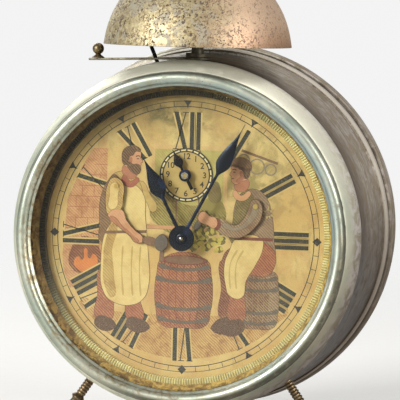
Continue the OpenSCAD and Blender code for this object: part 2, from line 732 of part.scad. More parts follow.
crank_t = 0.9;
rocker_boss_r = 2;
rocker_w = 1.8;
rocker_eye_r = 1.3;
link_pin_r = 0.5;
left_link_y = link_y + crank_t + 0.2;
right_link_y = left_link_y + link_t + 0.15;
link_pin_end = right_link_y + link_t + 0.1;
link_w = 0.9;
link_eye_r = 1.4;
// The pins swing on arcs while the links move level, so their eyes are loose
link_gap = 0.2;
module arm_rocker() color(brass) placed() difference() {
    union() {
        flat(link_y, crank_t) {
            disc(pallet_at, rocker_boss_r);
            bar(pallet_at, rocker_tip, rocker_w);
            disc(rocker_tip, rocker_eye_r);
        }
        at(rocker_tip) rod(link_pin_r, link_y, link_pin_end);
    }
    at(pallet_at) rod(arbor_r, link_y - past, link_y + 2 * past);
}
module link(y0, p, q) color(steel) placed() difference() {
    flat(y0, link_t) {
        bar(p, q, link_w);
        for (e = [p, q]) disc(e, link_eye_r);
    }
    for (e = [p, q]) at(e) rod(link_pin_r + link_gap, y0 - past, y0 + 2 * past);
}
module left_link() link(left_link_y, rocker_tip, left_pin);
module right_link() link(right_link_y, rocker_tip, right_pin);
arm_y = -1.6;
crank_boss_r = 1.9;
crank_w = 1.6;
crank_eye_r = 1.2;
// Weights that balance the arms on their pivots, so that they don't load the pallets
weight_r = 3.6;
weight_t = 1.8;
left_weight_at = from(left_pivot, 9.4, 104.5);
right_weight_at = from(right_pivot, 7.4, 50.6);
module crank(pivot, pin, weight) color(brass) placed() {
    at(pivot) rod(arm_arbor_r, arm_y - proud, link_y + crank_t);
    flat(link_y, crank_t) {
        disc(pivot, crank_boss_r);
        bar(pivot, pin, crank_w);
        disc(pin, crank_eye_r);
        bar(pivot, weight, crank_w);
    }
    at(pin) rod(link_pin_r, link_y, link_pin_end);
    at(weight) rod(weight_r, link_y, link_y + weight_t);
}
module left_crank() crank(left_pivot, left_pin, left_weight_at);
module right_crank() crank(right_pivot, right_pin, right_weight_at);
left_elbow = [-26, 7.8];
left_hand_at = [-16.7, -0.8];
left_tool_at = [-8.2, -2.4];
left_arm_w = [6.2, 5, 3.8];
tool_w = 1;
tool_head = [[0.3, 2.2], [-0.3, -2.4]];
tool_head_w = 2.6;
right_elbow = [19.6, 2.6];
right_hand_at = [5.8, 6.9];
right_tool_at = [4.2, 3.2];
right_tool_end = [1.4, 2.6];
right_arm_w = [5.6, 4.6, 3.4];
// Upper arm, forearm and hand of a tin arm, w the widths at shoulder, elbow and hand
module arm_shape(pivot, elbow, hand_at, w) {
    disc(pivot, w[0] / 2);
    bar(pivot, elbow, w[1]);
    disc(elbow, w[1] / 2);
    bar(elbow, hand_at, w[2]);
    disc(hand_at, w[2] / 2);
}
module left_arm() color([0.72, 0.33, 0.22]) placed() difference() {
    flat(arm_y, arm_t) {
        arm_shape(left_pivot, left_elbow, left_hand_at, left_arm_w);
        bar(left_hand_at, left_tool_at, tool_w);
        bar(left_tool_at + tool_head[0], left_tool_at + tool_head[1], tool_head_w);
    }
    at(left_pivot) rod(arm_arbor_r, arm_y - past, arm_y + past);
}
module right_arm() color([0.72, 0.33, 0.22]) placed() difference() {
    flat(arm_y, arm_t) {
        arm_shape(right_pivot, right_elbow, right_hand_at, right_arm_w);
        bar(right_hand_at + right_tool_end, right_tool_at, tool_w);
    }
    at(right_pivot) rod(arm_arbor_r, arm_y - past, arm_y + past);
}

// Balance

impulse_r = 2.6;
impulse_pin_r = 0.35;
roller_y = balance_y + 3.6;
roller_t = 0.8;
balance_t = 1.4;
balance_rim = 1.5;
balance_hub_r = 2;
balance_spoke_w = 1.4;
balance_end = 1.2;
module balance_wheel() color(brass) placed() at(balance_at) {
    rod(arbor_r, front_in + balance_end, back_in - balance_end);
    rod(hairspring_in - play, hairspring_y, balance_y);
    flat(balance_y, balance_t)
        wheel_shape(balance_r - balance_rim, balance_hub_r, balance_spoke_w) circle(balance_r);
    rod(impulse_r + roller_t, roller_y, roller_y + roller_t);
    at(from([0, 0], impulse_r, balance_a + 180))
        rod(impulse_pin_r, roller_y + roller_t, pallet_y + pallet_t + play);
}
hairspring_turns = 5;
hairspring_in = 2.2;
hairspring_pitch = 0.9;
hairspring_w = 0.25;
hairspring_h = 0.9;
stud_pin_r = 0.5;
function spiral(o) = [for (i = [0:hairspring_turns * 24]) let (a = 15 * i,
    r = hairspring_in + hairspring_pitch * i / 24 + o) [r * cos(a), r * sin(a)]];
module hairspring() color(steel) placed() at(balance_at) {
    inner = spiral(0);
    outer = spiral(hairspring_w);
    flat(hairspring_y, hairspring_h) polygon(concat(outer, [for (i = [len(inner) - 1:-1:0]) inner[i]]));
    end = outer[len(outer) - 1];
    at(end) rod(stud_pin_r, front_in, hairspring_y + hairspring_h);
}
balance_screw_out = 1.6;
module balance_screws() color(steel) placed() at(balance_at) {
    rod(balance_screw_r, front_plate_y - balance_screw_out, front_in + balance_end - 0.1);
    rod(balance_screw_r, back_in - balance_end + 0.1, back_out + balance_screw_out);
}
regulator_boss_r = 3.6;
regulator_w = 1.8;
regulator_eye_r = 1.6;
regulator_t = 0.8;
module regulator() color(steel) placed() at(balance_at) difference() {
    flat(back_out + 0.2, regulator_t) {
        circle(regulator_boss_r);
        bar([0, 0], from([0, 0], regulator_l, regulator_a), regulator_w);
        disc(from([0, 0], regulator_l, regulator_a), regulator_eye_r);
    }
    rod(balance_screw_r + fit, back_out - past, back_out + 2 * past);
}

// Alarm

module alarm_wheel() color(brass) placed() at(alarm_at) difference() {
    train_wheel(hour_n, hour_module, alarm_wheel_ph, hour_wheel_y, motion_t);
    rod(alarm_arbor_r + fit, hour_wheel_y - past, hour_wheel_y + 2 * past);
}
alarm_hand_y = -2.6;
alarm_tube_l = 0.6;
alarm_collar_r = 2.2;
alarm_collar_t = 0.5;
alarm_angle = -28;
alarm_tail = 5.6;
alarm_boss_r = 1.9;
// One side of the alarm hand as [half width, share of its length]
alarm_side = [[0.5, 0.29], [1.7, 0.53], [0.9, 0.73]];
alarm_root_w = 1.2;
module alarm_set_arbor() color(brass) placed() at(alarm_at) {
    rod(alarm_arbor_r, alarm_hand_y - alarm_tube_l, arbor_end_y);
    rod(alarm_collar_r, alarm_hand_y + hand_t, alarm_hand_y + hand_t + alarm_collar_t);
}
module alarm_hand() color(blued) placed() at(alarm_at) rotate([0, alarm_angle, 0]) difference() {
    flat(alarm_hand_y, hand_t) {
        polygon(concat([[-alarm_root_w / 2, -alarm_tail], [alarm_root_w / 2, -alarm_tail]],
            [for (p = alarm_side) [p[0], p[1] * alarm_l]], [[0, alarm_l]],
            [for (i = [len(alarm_side) - 1:-1:0]) [-alarm_side[i][0], alarm_side[i][1] * alarm_l]]));
        circle(alarm_boss_r);
    }
    rod(alarm_arbor_r, alarm_hand_y - past, alarm_hand_y + past);
}
module alarm_knob() knob(alarm_at, alarm_arbor_r, back_y + 1);
alarm_escape_r = 8.6;
alarm_escape_tooth = [0.6, 0.4, 0.12, 0.85, 1.5];
alarm_escape_rim = 3;
alarm_escape_y = great_y + 5;
module alarm_escape_wheel() color(brass) placed() at(alarm_escape_at) {
    arbor(arbor_r, pivot_r);
    pinion(alarm_pinion_n, alarm_module, alarm_pinion_ph, great_y - pinion_over, great_t + 2 * pinion_over);
    flat(alarm_escape_y, wheel_t)
        escape_shape(alarm_escape_r, alarm_escape_n, alarm_escape_tooth, alarm_escape_rim, 0);
}
// Hammer: a rod that leans out where it enters the bell
hammer_knee = [-15.3, groove_r - 1.4];
hammer_head_at = [-23, rim_z + 11.6];
knee_r = hammer_rod_r + 0.2;
hammer_hub = [2.2, 3];
verge_t = 1;
verge_w = 1.4;
verge_span = 30;
verge_pin_r = 0.4;
verge_y = alarm_escape_y + 2;
module slant(p, q, r, more = 0) translate([p[0], hammer_y, p[1]])
    rotate([0, atan2(q[0] - p[0], q[1] - p[1]), 0]) cylinder(r = r, h = norm(q - p) + more);
module hammer() color([0.16, 0.15, 0.15]) placed() {
    at(hammer_at) arbor(arbor_r, pivot_r);
    at(hammer_at) rod(hammer_hub[0], hammer_y - hammer_hub[1] / 2, hammer_y + hammer_hub[1] / 2);
    slant(hammer_at, hammer_knee, hammer_rod_r);
    translate([hammer_knee[0], hammer_y, hammer_knee[1]]) sphere(knee_r);
    slant(hammer_knee, hammer_head_at, hammer_rod_r);
    verge = atan2(alarm_escape_at[1] - hammer_at[1], alarm_escape_at[0] - hammer_at[0]);
    pins_at = [for (s = [-1, 1]) from(alarm_escape_at, alarm_escape_r + 1, 180 + verge + verge_span * s)];
    flat(verge_y, verge_t) {
        disc(hammer_at, hammer_hub[0]);
        for (p = pins_at) bar(hammer_at, p, verge_w);
    }
    for (p = pins_at) at(p) rod(verge_pin_r, alarm_escape_y - proud, verge_y + verge_t / 2);
}
module hammer_head() color(steel) placed() translate([hammer_head_at[0], hammer_y, hammer_head_at[1]])
    rotate([0, atan2(hammer_head_at[0] - hammer_knee[0], hammer_head_at[1] - hammer_knee[1]), 0])
    rotate_extrude() difference() {
        circle(hammer_head_r, $fn = 48);
        translate([-2 * hammer_head_r, -hammer_head_r]) square(2 * hammer_head_r);
        translate([0, -2 * hammer_head_r]) square([hammer_rod_r + seat, 2 * (hammer_head_r + seat)]);
    }

// Bell and stop lever

function bell_curve(o) = [for (i = [0:18]) let (t = 90 * i / 18)
    [(bell_r - bell_lip - o) * cos(t) + bell_lip * pow(1 - sin(t), 6), (bell_h - o) * sin(t)]];
module bell() color([0.76, 0.64, 0.38]) placed() translate([0, bell_y, rim_z]) difference() {
    rotate_extrude($fn = 128) polygon(concat(bell_curve(0),
        [for (i = [len(bell_curve(bell_wall)) - 1:-1:0]) bell_curve(bell_wall)[i]]));
    cylinder(r = stud_r + seat, h = 2 * bell_h);
}
collar_r = 4.2;
collar_t = 1.4;
collar_gap = 0.15;
washer_w = 1;
washer_t = 2;
nut_reach = 3.5;
post_bottom = top_pillar_at[1] + pillar_r + play;
post_top = apex_z - bell_wall - play;
module bell_post() color(steel) placed() translate([0, bell_y, 0]) {
    translate([0, 0, top_pillar_at[1] - pillar_r]) cylinder(r = stud_r, h = 3 * pillar_r);
    translate([0, 0, post_bottom]) cylinder(r = post_r, h = post_top - post_bottom);
    translate([0, 0, lever_z + lever_t + collar_gap]) cylinder(r = collar_r, h = collar_t);
    translate([0, 0, post_top - washer_t]) cylinder(r = post_r + washer_w, h = washer_t);
    translate([0, 0, post_top - washer_t]) cylinder(r = stud_r, h = apex_z + nut_reach - post_top + washer_t);
}
nut_flange = [5, 1.2];
nut_neck = [3.4, 2];
nut_ball_r = 2.9;
nut_ball_z = 4.6;
// Cuts away what a revolved shape has on the far side of its axis
axis_cut = 30;
module beyond_axis() translate([-axis_cut, -axis_cut]) square([axis_cut, 2 * axis_cut]);
module bell_nut() color(brass) placed() translate([0, bell_y, apex_z]) difference() {
    rotate_extrude() difference() {
        union() {
            square(nut_flange);
            translate([0, nut_flange[1]]) square(nut_neck);
            translate([0, nut_ball_z]) circle(nut_ball_r, $fn = 48);
        }
        beyond_axis();
    }
    translate([0, 0, -past]) cylinder(r = stud_r + seat, h = nut_reach + seat + past);
}
lever_hub_r = 5;
lever_root = 4;
lever_point = 4;
lever_taper = 0.6;
module stop_lever() color(steel) placed() translate([0, bell_y, lever_z]) difference() {
    end = lever_root - lever_l;
    union() {
        cylinder(r = lever_hub_r, h = lever_t);
        translate([-lever_root, 0, 0]) rotate([0, -lever_droop, 0]) linear_extrude(lever_t)
            polygon([[0, -lever_w / 2], [0, lever_w / 2], [end + lever_point, lever_w / 2 - lever_taper],
                [end, 0], [end + lever_point, lever_taper - lever_w / 2]]);
    }
    translate([0, 0, -past]) cylinder(r = post_r + fit, h = 3 * past);
}
knob_x = 3.6 - lever_l;
knob_ball_z = 3.4;
// The ball's foot, a cone drawn from its edge on the lever to its neck under the ball
knob_foot = [[0, 0.1], [2.4, 0.1], [1.9, 0.5], [1, 1.2], [0.9, 2.4], [0, 2.4]];
module stop_knob() color([0.40, 0.36, 0.28]) placed()
    translate([knob_x, bell_y, lever_z + lever_t + (knob_x + lever_root) * sin(lever_droop)])
    rotate_extrude() difference() {
        union() {
            translate([0, knob_ball_z]) circle(knob_ball_r, $fn = 48);
            polygon(knob_foot);
        }
        beyond_axis();
    }

// Legs

thread_d = 0.3;
thread_gap = 0.1;
// How far the leg's core stands above the bottom of the thread
thread_core = 0.05;
collar_h = 2.4;
// The collar under the thread as [radius above the leg's, height]
leg_collar = [[0.5, 0], [0.8, 0.6], [0.5, 1.2], [0, 1.6], [0, collar_h]];
leg_swell = 0.9;
leg_neck = 2.2;
module turned_leg(l, thread) {
    cylinder(r = leg_r - thread_d + thread_core, h = thread);
    for (i = [0:floor(thread / leg_pitch) - 1]) translate([0, 0, i * leg_pitch]) rotate_extrude()
        polygon([[0, thread_gap], [leg_r - thread_d, thread_gap], [leg_r, leg_pitch / 2],
            [leg_r - thread_d, leg_pitch - thread_gap], [0, leg_pitch - thread_gap]]);
    translate([0, 0, thread]) rotate_extrude() polygon(concat([[0, 0]],
        [for (p = leg_collar) [leg_r + p[0], p[1]]],
        [[leg_r + leg_swell, (l - thread) / 2], [leg_r, l - thread - leg_neck], [0, l - thread - leg_neck]]));
    translate([0, 0, l]) sphere(foot_r);
}
module above_floor() difference() {
    children();
    translate([-bead_r, -bead_r, floor_z - 2 * foot_r]) cube([2 * bead_r, back_y + 2 * bead_r, 2 * foot_r]);
}
thread_l = 12;
rear_thread_l = 9;
inside_l = leg_root_r - pillar_depth_r + leg_grip;
rear_inside_l = 6;
module front_legs() color(brass) placed() above_floor() for (a = [-splay, splay]) leg_line(-a)
    translate([0, 0, leg_root_r - inside_l]) turned_leg(leg_l + inside_l, thread_l + inside_l);
module rear_leg() color(brass) placed() above_floor()
    translate([0, rear_leg_y, rear_inside_l - rear_root_r]) rotate([180, 0, 0])
    turned_leg(rear_inside_l - foot_z - rear_root_r, rear_thread_l);

case_drum();
back_cover();
cover_screws();
bezel();
glass();
reflector();
sight_ring();
dial_plate();
dial_feet();
front_plate();
back_plate();
plate_pillars();
plate_nuts();
time_main_wheel();
time_arbor();
time_spring();
time_key();
time_ratchet();
alarm_main_wheel();
alarm_main_arbor();
alarm_spring();
alarm_key();
alarm_ratchet();
clicks();
centre_wheel();
cannon_pinion();
minute_hand();
hand_hub();
hand_knob();
hour_wheel();
hour_hand();
minute_wheel();
third_wheel();
escape_wheel();
pallet_lever();
arm_rocker();
balance_wheel();
hairspring();
balance_screws();
regulator();
alarm_wheel();
alarm_set_arbor();
alarm_hand();
alarm_knob();
alarm_escape_wheel();
hammer();
hammer_head();
left_link();
right_link();
left_crank();
right_crank();
left_arm();
right_arm();
bell();
bell_post();
bell_nut();
stop_lever();
stop_knob();
front_legs();
rear_leg();
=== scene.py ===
# Automaton alarm clock: finishes, smooth metalwork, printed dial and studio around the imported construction
import math
import random
import bmesh
import bpy
from mathutils import Matrix, Vector


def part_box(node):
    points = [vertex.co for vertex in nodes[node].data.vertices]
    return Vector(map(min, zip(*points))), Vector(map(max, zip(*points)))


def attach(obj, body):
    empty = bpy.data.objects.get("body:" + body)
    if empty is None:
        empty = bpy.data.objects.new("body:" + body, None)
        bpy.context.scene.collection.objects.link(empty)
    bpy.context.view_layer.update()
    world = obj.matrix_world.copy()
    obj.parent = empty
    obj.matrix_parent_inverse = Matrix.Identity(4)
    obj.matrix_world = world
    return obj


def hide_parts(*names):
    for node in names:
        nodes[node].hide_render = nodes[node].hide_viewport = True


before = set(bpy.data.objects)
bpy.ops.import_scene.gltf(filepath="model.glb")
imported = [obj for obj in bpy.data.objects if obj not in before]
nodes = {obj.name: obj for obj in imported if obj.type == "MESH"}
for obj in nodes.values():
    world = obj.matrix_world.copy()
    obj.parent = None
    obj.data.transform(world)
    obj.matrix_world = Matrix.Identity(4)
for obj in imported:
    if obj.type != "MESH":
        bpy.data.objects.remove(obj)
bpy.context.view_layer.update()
mm = 0.001
turn = 2 * math.pi

# Everything is laid out from the middle of the dial's face: x right, y to the back, z up, in millimetres
dialLow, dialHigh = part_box("dial_plate")
hub = Vector((0, dialLow.y, (dialLow.z + dialHigh.z) / 2))
print("frame loaded, dial centre at", [round(c, 4) for c in hub])


def fromHub(x, y, z):
    return hub + Vector((x, y, z)) * mm


# Camera and studio

view = {
    "place": (189.1, -1008.9, 89.9),  # from the middle of the dial
    "yaw": 10.33, "pitch": 4.26, "roll": 1.36,  # degrees
    "focal": 2866,  # in pixels of the frame
    "frame": 400,
    "film": 36,
}


def makeCamera():
    yaw, pitch, roll = (math.radians(view[k]) for k in ("yaw", "pitch", "roll"))
    ahead = Vector((-math.sin(yaw) * math.cos(pitch), math.cos(yaw) * math.cos(pitch), -math.sin(pitch)))
    right = Vector((math.cos(yaw), math.sin(yaw), 0))
    up = right.cross(ahead)
    right, up = right * math.cos(roll) + up * math.sin(roll), up * math.cos(roll) - right * math.sin(roll)
    data = bpy.data.cameras.new("camera")
    data.lens = view["focal"] / view["frame"] * view["film"]
    data.sensor_width = view["film"]
    data.clip_end = 20
    camera = bpy.data.objects.new("camera", data)
    aim = Matrix((right, up, -ahead)).transposed().to_4x4()
    camera.matrix_world = Matrix.Translation(fromHub(*view["place"])) @ aim
    bpy.context.scene.collection.objects.link(camera)
    bpy.context.scene.camera = camera


lamps = {
    "key": {"place": (-0.85, -1.15, 0.62), "size": 0.6, "power": 30},
    "fill": {"place": (1.15, -0.75, 0.4), "size": 0.6, "power": 15},
    "top": {"place": (0.25, 0.15, 1.15), "size": 0.6, "power": 3.5},
    "back": {"place": (-0.6, 1.1, 0.7), "size": 0.8, "power": 7},
}


def makeLamps():
    target = fromHub(0, 25, 0)
    for name, lamp in lamps.items():
        data = bpy.data.lights.new(name, "AREA")
        data.energy = lamp["power"]
        data.size = lamp["size"]
        obj = bpy.data.objects.new(name, data)
        place = Vector(lamp["place"])
        aim = (target - place).to_track_quat("-Z", "Y").to_matrix().to_4x4()
        obj.matrix_world = Matrix.Translation(place) @ aim
        bpy.context.scene.collection.objects.link(obj)


# Shader maths: a signal is an output socket, and an expression on signals adds its nodes

class Signal:
    def __init__(self, shader, socket):
        self.shader, self.socket = shader, socket

    def maths(self, operation, *values):
        return self.shader.add("ShaderNodeMath", {"operation": operation}, dict(enumerate(values)))

    def __add__(self, other):
        return self.maths("ADD", self, other)

    def __sub__(self, other):
        return self.maths("SUBTRACT", self, other)

    def __rsub__(self, other):
        return self.maths("SUBTRACT", other, self)

    def __mul__(self, other):
        return self.maths("MULTIPLY", self, other)

    def __truediv__(self, other):
        return self.maths("DIVIDE", self, other)

    __radd__, __rmul__ = __add__, __mul__

    def rise(self, low, high):  # 0 below low, 1 above high, smooth between
        return self.shader.add("ShaderNodeMapRange", {"interpolation_type": "SMOOTHSTEP"},
                               {0: self, 1: low, 2: high})

    def near(self, middle, width):  # 1 at middle, 0 further than width
        return 1 - self.maths("ABSOLUTE", self - middle).rise(0, width)


class Shader:
    def __init__(self, name):
        self.material = bpy.data.materials.new(name)
        self.material.use_nodes = True
        self.nodes = self.material.node_tree.nodes
        self.nodes.clear()
        self.links = self.material.node_tree.links

    def add(self, kind, settings, inputs, out=0):
        node = self.nodes.new(kind)
        for key, value in settings.items():
            setattr(node, key, value)
        for key, value in inputs.items():
            if isinstance(value, Signal):
                self.links.new(value.socket, node.inputs[key])
            else:
                node.inputs[key].default_value = value
        return Signal(self, node.outputs[out]) if node.outputs else None

    def mix(self, amount, first, second):
        return self.add("ShaderNodeMix", {"data_type": "RGBA"}, {0: amount, 6: first, 7: second}, 2)

    def darken(self, amount, first, second):
        return self.add("ShaderNodeMix", {"data_type": "RGBA", "blend_type": "MULTIPLY"},
                        {0: amount, 6: first, 7: second}, 2)

    def place(self, middle=None, scale=(1, 1, 1), rotation=(0, 0, 0)):
        middle = middle or hub
        coords = self.add("ShaderNodeTexCoord", {}, {}, "Object")
        moved = self.add("ShaderNodeVectorMath", {"operation": "SUBTRACT"}, {0: coords, 1: middle})
        return self.add("ShaderNodeMapping", {}, {"Vector": moved, "Scale": scale, "Rotation": rotation})

    def axes(self, vector):  # x, y, z in millimetres
        node = self.nodes.new("ShaderNodeSeparateXYZ")
        self.links.new(vector.socket, node.inputs[0])
        return [Signal(self, out) * 1000 for out in node.outputs]

    def noise(self, size, detail=3, rough=0.55, bend=0.0, vector=None):  # size of a blotch in millimetres
        return self.add("ShaderNodeTexNoise", {}, {"Vector": vector or self.place(), "Scale": 1000 / size,
                        "Detail": detail, "Roughness": rough, "Distortion": bend})

    def cells(self, size, feature="F1", vector=None):
        return self.add("ShaderNodeTexVoronoi", {"feature": feature}, {"Vector": vector or self.place(),
                        "Scale": 1000 / size}, "Distance")

    def around(self, x, y, z, along, across, detail=3):  # noise drawn out round the hand arbor
        angle = x.maths("ARCTAN2", x, z)
        vector = self.add("ShaderNodeCombineXYZ", {},
                          {0: angle * 60 / along, 1: y / across, 2: radius(x, z) / across})
        return self.add("ShaderNodeTexNoise", {}, {"Vector": vector, "Scale": 1.0, "Detail": detail,
                                                   "Roughness": 0.6})

    def bump(self, height, depth, strength=1.0):  # depth in millimetres
        return self.add("ShaderNodeBump", {}, {"Height": height, "Distance": depth * mm,
                                               "Strength": strength})

    def finish(self, **inputs):
        sockets = {key.replace("_", " "): value for key, value in inputs.items()}
        surface = self.add("ShaderNodeBsdfPrincipled", {}, sockets)
        self.add("ShaderNodeOutputMaterial", {}, {"Surface": surface})
        return self.material


def srgb(red, green, blue):  # screen values 0 to 255 to a linear colour
    shades = [((c / 255 + 0.055) / 1.055) ** 2.4 if c > 10 else c / 3295 for c in (red, green, blue)]
    return (*shades, 1)


def tones(screen):
    return {name: srgb(*shade) for name, shade in screen.items()}


def radius(x, z):
    squares = x * x + z * z
    return squares.maths("SQRT", squares)


# Finishes

milling = {"teeth": 352, "depth": 0.45, "slope": 0.45}
nickel = tones({
    "bright": (206, 204, 182), "green": (174, 180, 160), "warm": (150, 136, 116), "pink": (212, 202, 198),
    "brown": (98, 82, 64), "dark": (46, 39, 30), "underShade": (128, 114, 98), "rearBeadHighlight": (232, 222, 206),
    "paintedTopLight": (240, 236, 214), "paintedLowShade": (124, 112, 98), "roll": (184, 186, 168),
    "rollGreen": (152, 162, 148), "rollCoolReflection": (140, 158, 160), "rollLowShade": (104, 94, 80),
    "rollMottle": (154, 146, 124), "rollInner": (122, 102, 64),
})


def makeNickel(name, bezel=False):
    s = Shader(name)
    x, y, z = s.axes(s.place())
    broad = s.noise(26, 4, 0.6)
    patch = s.noise(5, 5, 0.65, 0.6)
    fine = s.noise(0.7, 4, 0.7)
    drawn = s.around(x, y, z, 16, 0.8, 4)
    r = radius(x, z)
    pair = ("roll", "rollGreen") if bezel else ("bright", "green")
    colour = s.mix(broad.rise(0.35, 0.65), nickel[pair[0]], nickel[pair[1]])
    if not bezel:
        flatBack = y.rise(60, 62) * (1 - r.rise(63, 66))
        side = x.rise(0, 40) * y.rise(-9, -2) * (1 - flatBack * 0.8)
        colour = s.mix(side * 0.85, colour, s.mix(patch.rise(0.4, 0.6), nickel["pink"],
                                                  nickel["warm"]))
        behind = y.rise(6, 14) * (patch * 0.6 + drawn * 0.8).rise(0.25, 0.8) * (1 - flatBack * 0.6)
        colour = s.mix(behind * 0.8, colour, nickel["warm"])
        colour = s.mix(behind * drawn.rise(0.5, 0.64) * 0.5, colour, nickel["brown"])
        # Painted highlight: a light band along the rear bead on the right side
        colour = s.mix(y.near(50.5, 4.0) * x.rise(0, 40) * 0.8, colour, nickel["rearBeadHighlight"])
        # Painted shade on the cove just behind the shoulder's edge
        colour = s.mix(y.near(12, 20) * y.rise(6, 9) * 0.85, colour, nickel["brown"])
        # Painted shadow of the bell on the cove at the top of the case
        colour = s.mix(y.near(12, 12) * y.rise(7, 9) * (z - x).rise(10, 50) * 0.8, colour,
                       nickel["dark"])
        # Dark joint lines round the case; the wide band at the groove behind the shoulder is painted shade
        lines = (y.near(-10.3, 0.35) + y.near(9.4, 2.6) * 0.9 + y.near(48.3, 0.8) + y.near(46.9, 0.6) * 0.6
                 + y.near(58.3, 1.2))
        # Painted light: the top front of the case is lightened
        paintedTopLight = (z + x * 0.3).rise(20, 62) * (1 - y.rise(-2, 3))
        colour = s.mix(paintedTopLight * 0.75, colour, nickel["paintedTopLight"])
        # Painted shade: darker towards the bottom, behind the front edge
        under = (z * -1 + x * 0.4).rise(-6, 62) * y.rise(-6, 10)
        colour = s.darken(under * 0.9, colour, nickel["underShade"])
        # Painted shade: darker towards the bottom right
        paintedLowShade = (x * 0.9 - z * 0.8).rise(36, 80) * (1 - y.rise(46, 52) * 0.8)
        colour = s.darken(paintedLowShade * 0.85, colour, nickel["paintedLowShade"])
    else:
        lines = y.near(-9.0, 0.9) * r.rise(58.6, 59.6) + r.near(54.4, 0.5)
        # Painted reflection: a cool tint on the roll's inner side at the top right
        colour = s.mix((x + z).rise(20, 80) * r.rise(57.6, 56.2) * 0.7, colour, nickel["rollCoolReflection"])
        # Painted shade: the roll darker towards the bottom right
        paintedLowShade = (x * 0.8 - z).rise(10, 60) * r.rise(56.9, 58.4)
        colour = s.darken(paintedLowShade * 0.9, colour, nickel["rollLowShade"])
        mottle = s.noise(3.4, 5, 0.7, 0.8).rise(0.46, 0.66)
        colour = s.mix(mottle * 0.4, colour, nickel["rollMottle"])
        inner = (1 - r.rise(56.0, 58.6)) * (x * -1 - z * 0.3).rise(-30, 40)
        colour = s.mix(inner * (0.25 + mottle * 0.6), colour, nickel["rollInner"])
    wear = patch.rise(0.50, 0.74) * broad.rise(0.30, 0.60)
    low = (z * -1).rise(-10, 58)
    colour = s.mix(wear * (low * 0.5 + (0.4 if bezel else 0.25)), colour, nickel["brown"])
    colour = s.mix((lines * (0.45 + patch)).rise(0.15, 1.0) * 0.85, colour, nickel["dark"])
    specks = (1 - s.cells(1.6).rise(0.05, 0.22)) * s.noise(8, 3).rise(0.5, 0.7)
    colour = s.mix(specks * 0.75, colour, nickel["dark"])
    height = fine * 0.5 + patch * 1.4 - specks * 1.5 + drawn * 0.6
    shine = 0.92 if bezel else 0.66
    rough = (0.27 if bezel else 0.38) + patch * 0.22 + wear * 0.25 + fine * 0.08
    return s.finish(Base_Color=colour, Metallic=shine - (wear * 0.2 + specks * 0.3), Roughness=rough,
                    Normal=s.bump(height, 0.02, 0.6))


bellTone = tones({"pale": (196, 184, 146), "deep": (132, 112, 78), "copper": (214, 182, 154),
                  "grey": (148, 142, 126), "pit": (58, 42, 32), "stain": (104, 88, 72),
                  "middle": (196, 188, 176), "paintedLowShade": (196, 168, 146)})


def makeBellBrass():
    s = Shader("bell brass")
    x, y, z = s.axes(s.place())
    broad = s.noise(18, 4, 0.6)
    blotch = s.noise(1.3, 5, 0.7, 0.6)
    colour = s.mix(blotch.rise(0.32, 0.72), bellTone["pale"], bellTone["deep"])
    reddish = (x + broad * 26).rise(14, 36)
    colour = s.mix(reddish * 0.85, colour, bellTone["copper"])
    # Painted shade down the middle of the bell, between its highlights
    colour = s.darken(x.near(6, 20) * 0.55, colour, bellTone["middle"])
    # Painted shade: the bottom band of the bell's right side is darkened
    low = (1 - z.rise(68, 80)) * x.rise(0, 40)
    colour = s.darken(low * 0.8, colour, bellTone["paintedLowShade"])
    dull = s.noise(6.5, 4, 0.65, 0.8).rise(0.48, 0.60) * (1 - x.rise(2, 22))
    colour = s.mix(dull * 0.8, colour, bellTone["grey"])
    left = 1 - x.rise(-2, 30) * 0.4
    stain = s.noise(2.4, 4, 0.7, 1.0).rise(0.55, 0.62) * s.noise(9, 3, 0.6).rise(0.38, 0.56)
    clusters = s.noise(7, 3, 0.6).rise(0.36, 0.56)
    pits = s.noise(0.95, 2, 0.5).rise(0.55, 0.62) * clusters
    small = (1 - s.cells(0.8).rise(0.12, 0.34)) * s.noise(2.4, 2).rise(0.36, 0.50)
    marks = (pits + small * 0.9).rise(0.1, 0.9) * left
    colour = s.mix(stain * left * 0.8, colour, bellTone["stain"])
    colour = s.mix(marks * 0.85, colour, bellTone["pit"])
    rim = (z - 68.4).near(0.4, 2.2)
    colour = s.mix(rim * 0.35 * blotch, colour, bellTone["pit"])
    height = blotch * 0.8 - marks * 2.2 - stain * 0.8 + s.noise(0.5, 3, 0.6) * 0.5
    return s.finish(Base_Color=colour, Metallic=0.78 - marks * 0.4 - dull * 0.2,
                    Roughness=0.44 + blotch * 0.2 + marks * 0.2 + dull * 0.12,
                    Normal=s.bump(height, 0.03, 0.7))


def makeBrass(name, light, deep, rough, size=4.0):
    s = Shader(name)
    blotch = s.noise(size, 4, 0.65, 0.5)
    fine = s.noise(0.4, 3, 0.6)
    dirt = s.noise(size * 2.4, 3).rise(0.5, 0.75)
    colour = s.mix(blotch.rise(0.3, 0.7), srgb(*light), srgb(*deep))
    colour = s.mix(dirt * 0.5, colour, srgb(*[c * 0.45 for c in deep]))
    return s.finish(Base_Color=colour, Metallic=1 - dirt * 0.3, Roughness=rough + blotch * 0.18 + dirt * 0.2,
                    Normal=s.bump(blotch + fine * 0.6, 0.015, 0.5))


reflectorTone = tones({"pale": (238, 208, 114), "deep": (154, 120, 56), "bezelShadow": (66, 52, 30),
                       "dirt": (44, 32, 22)})


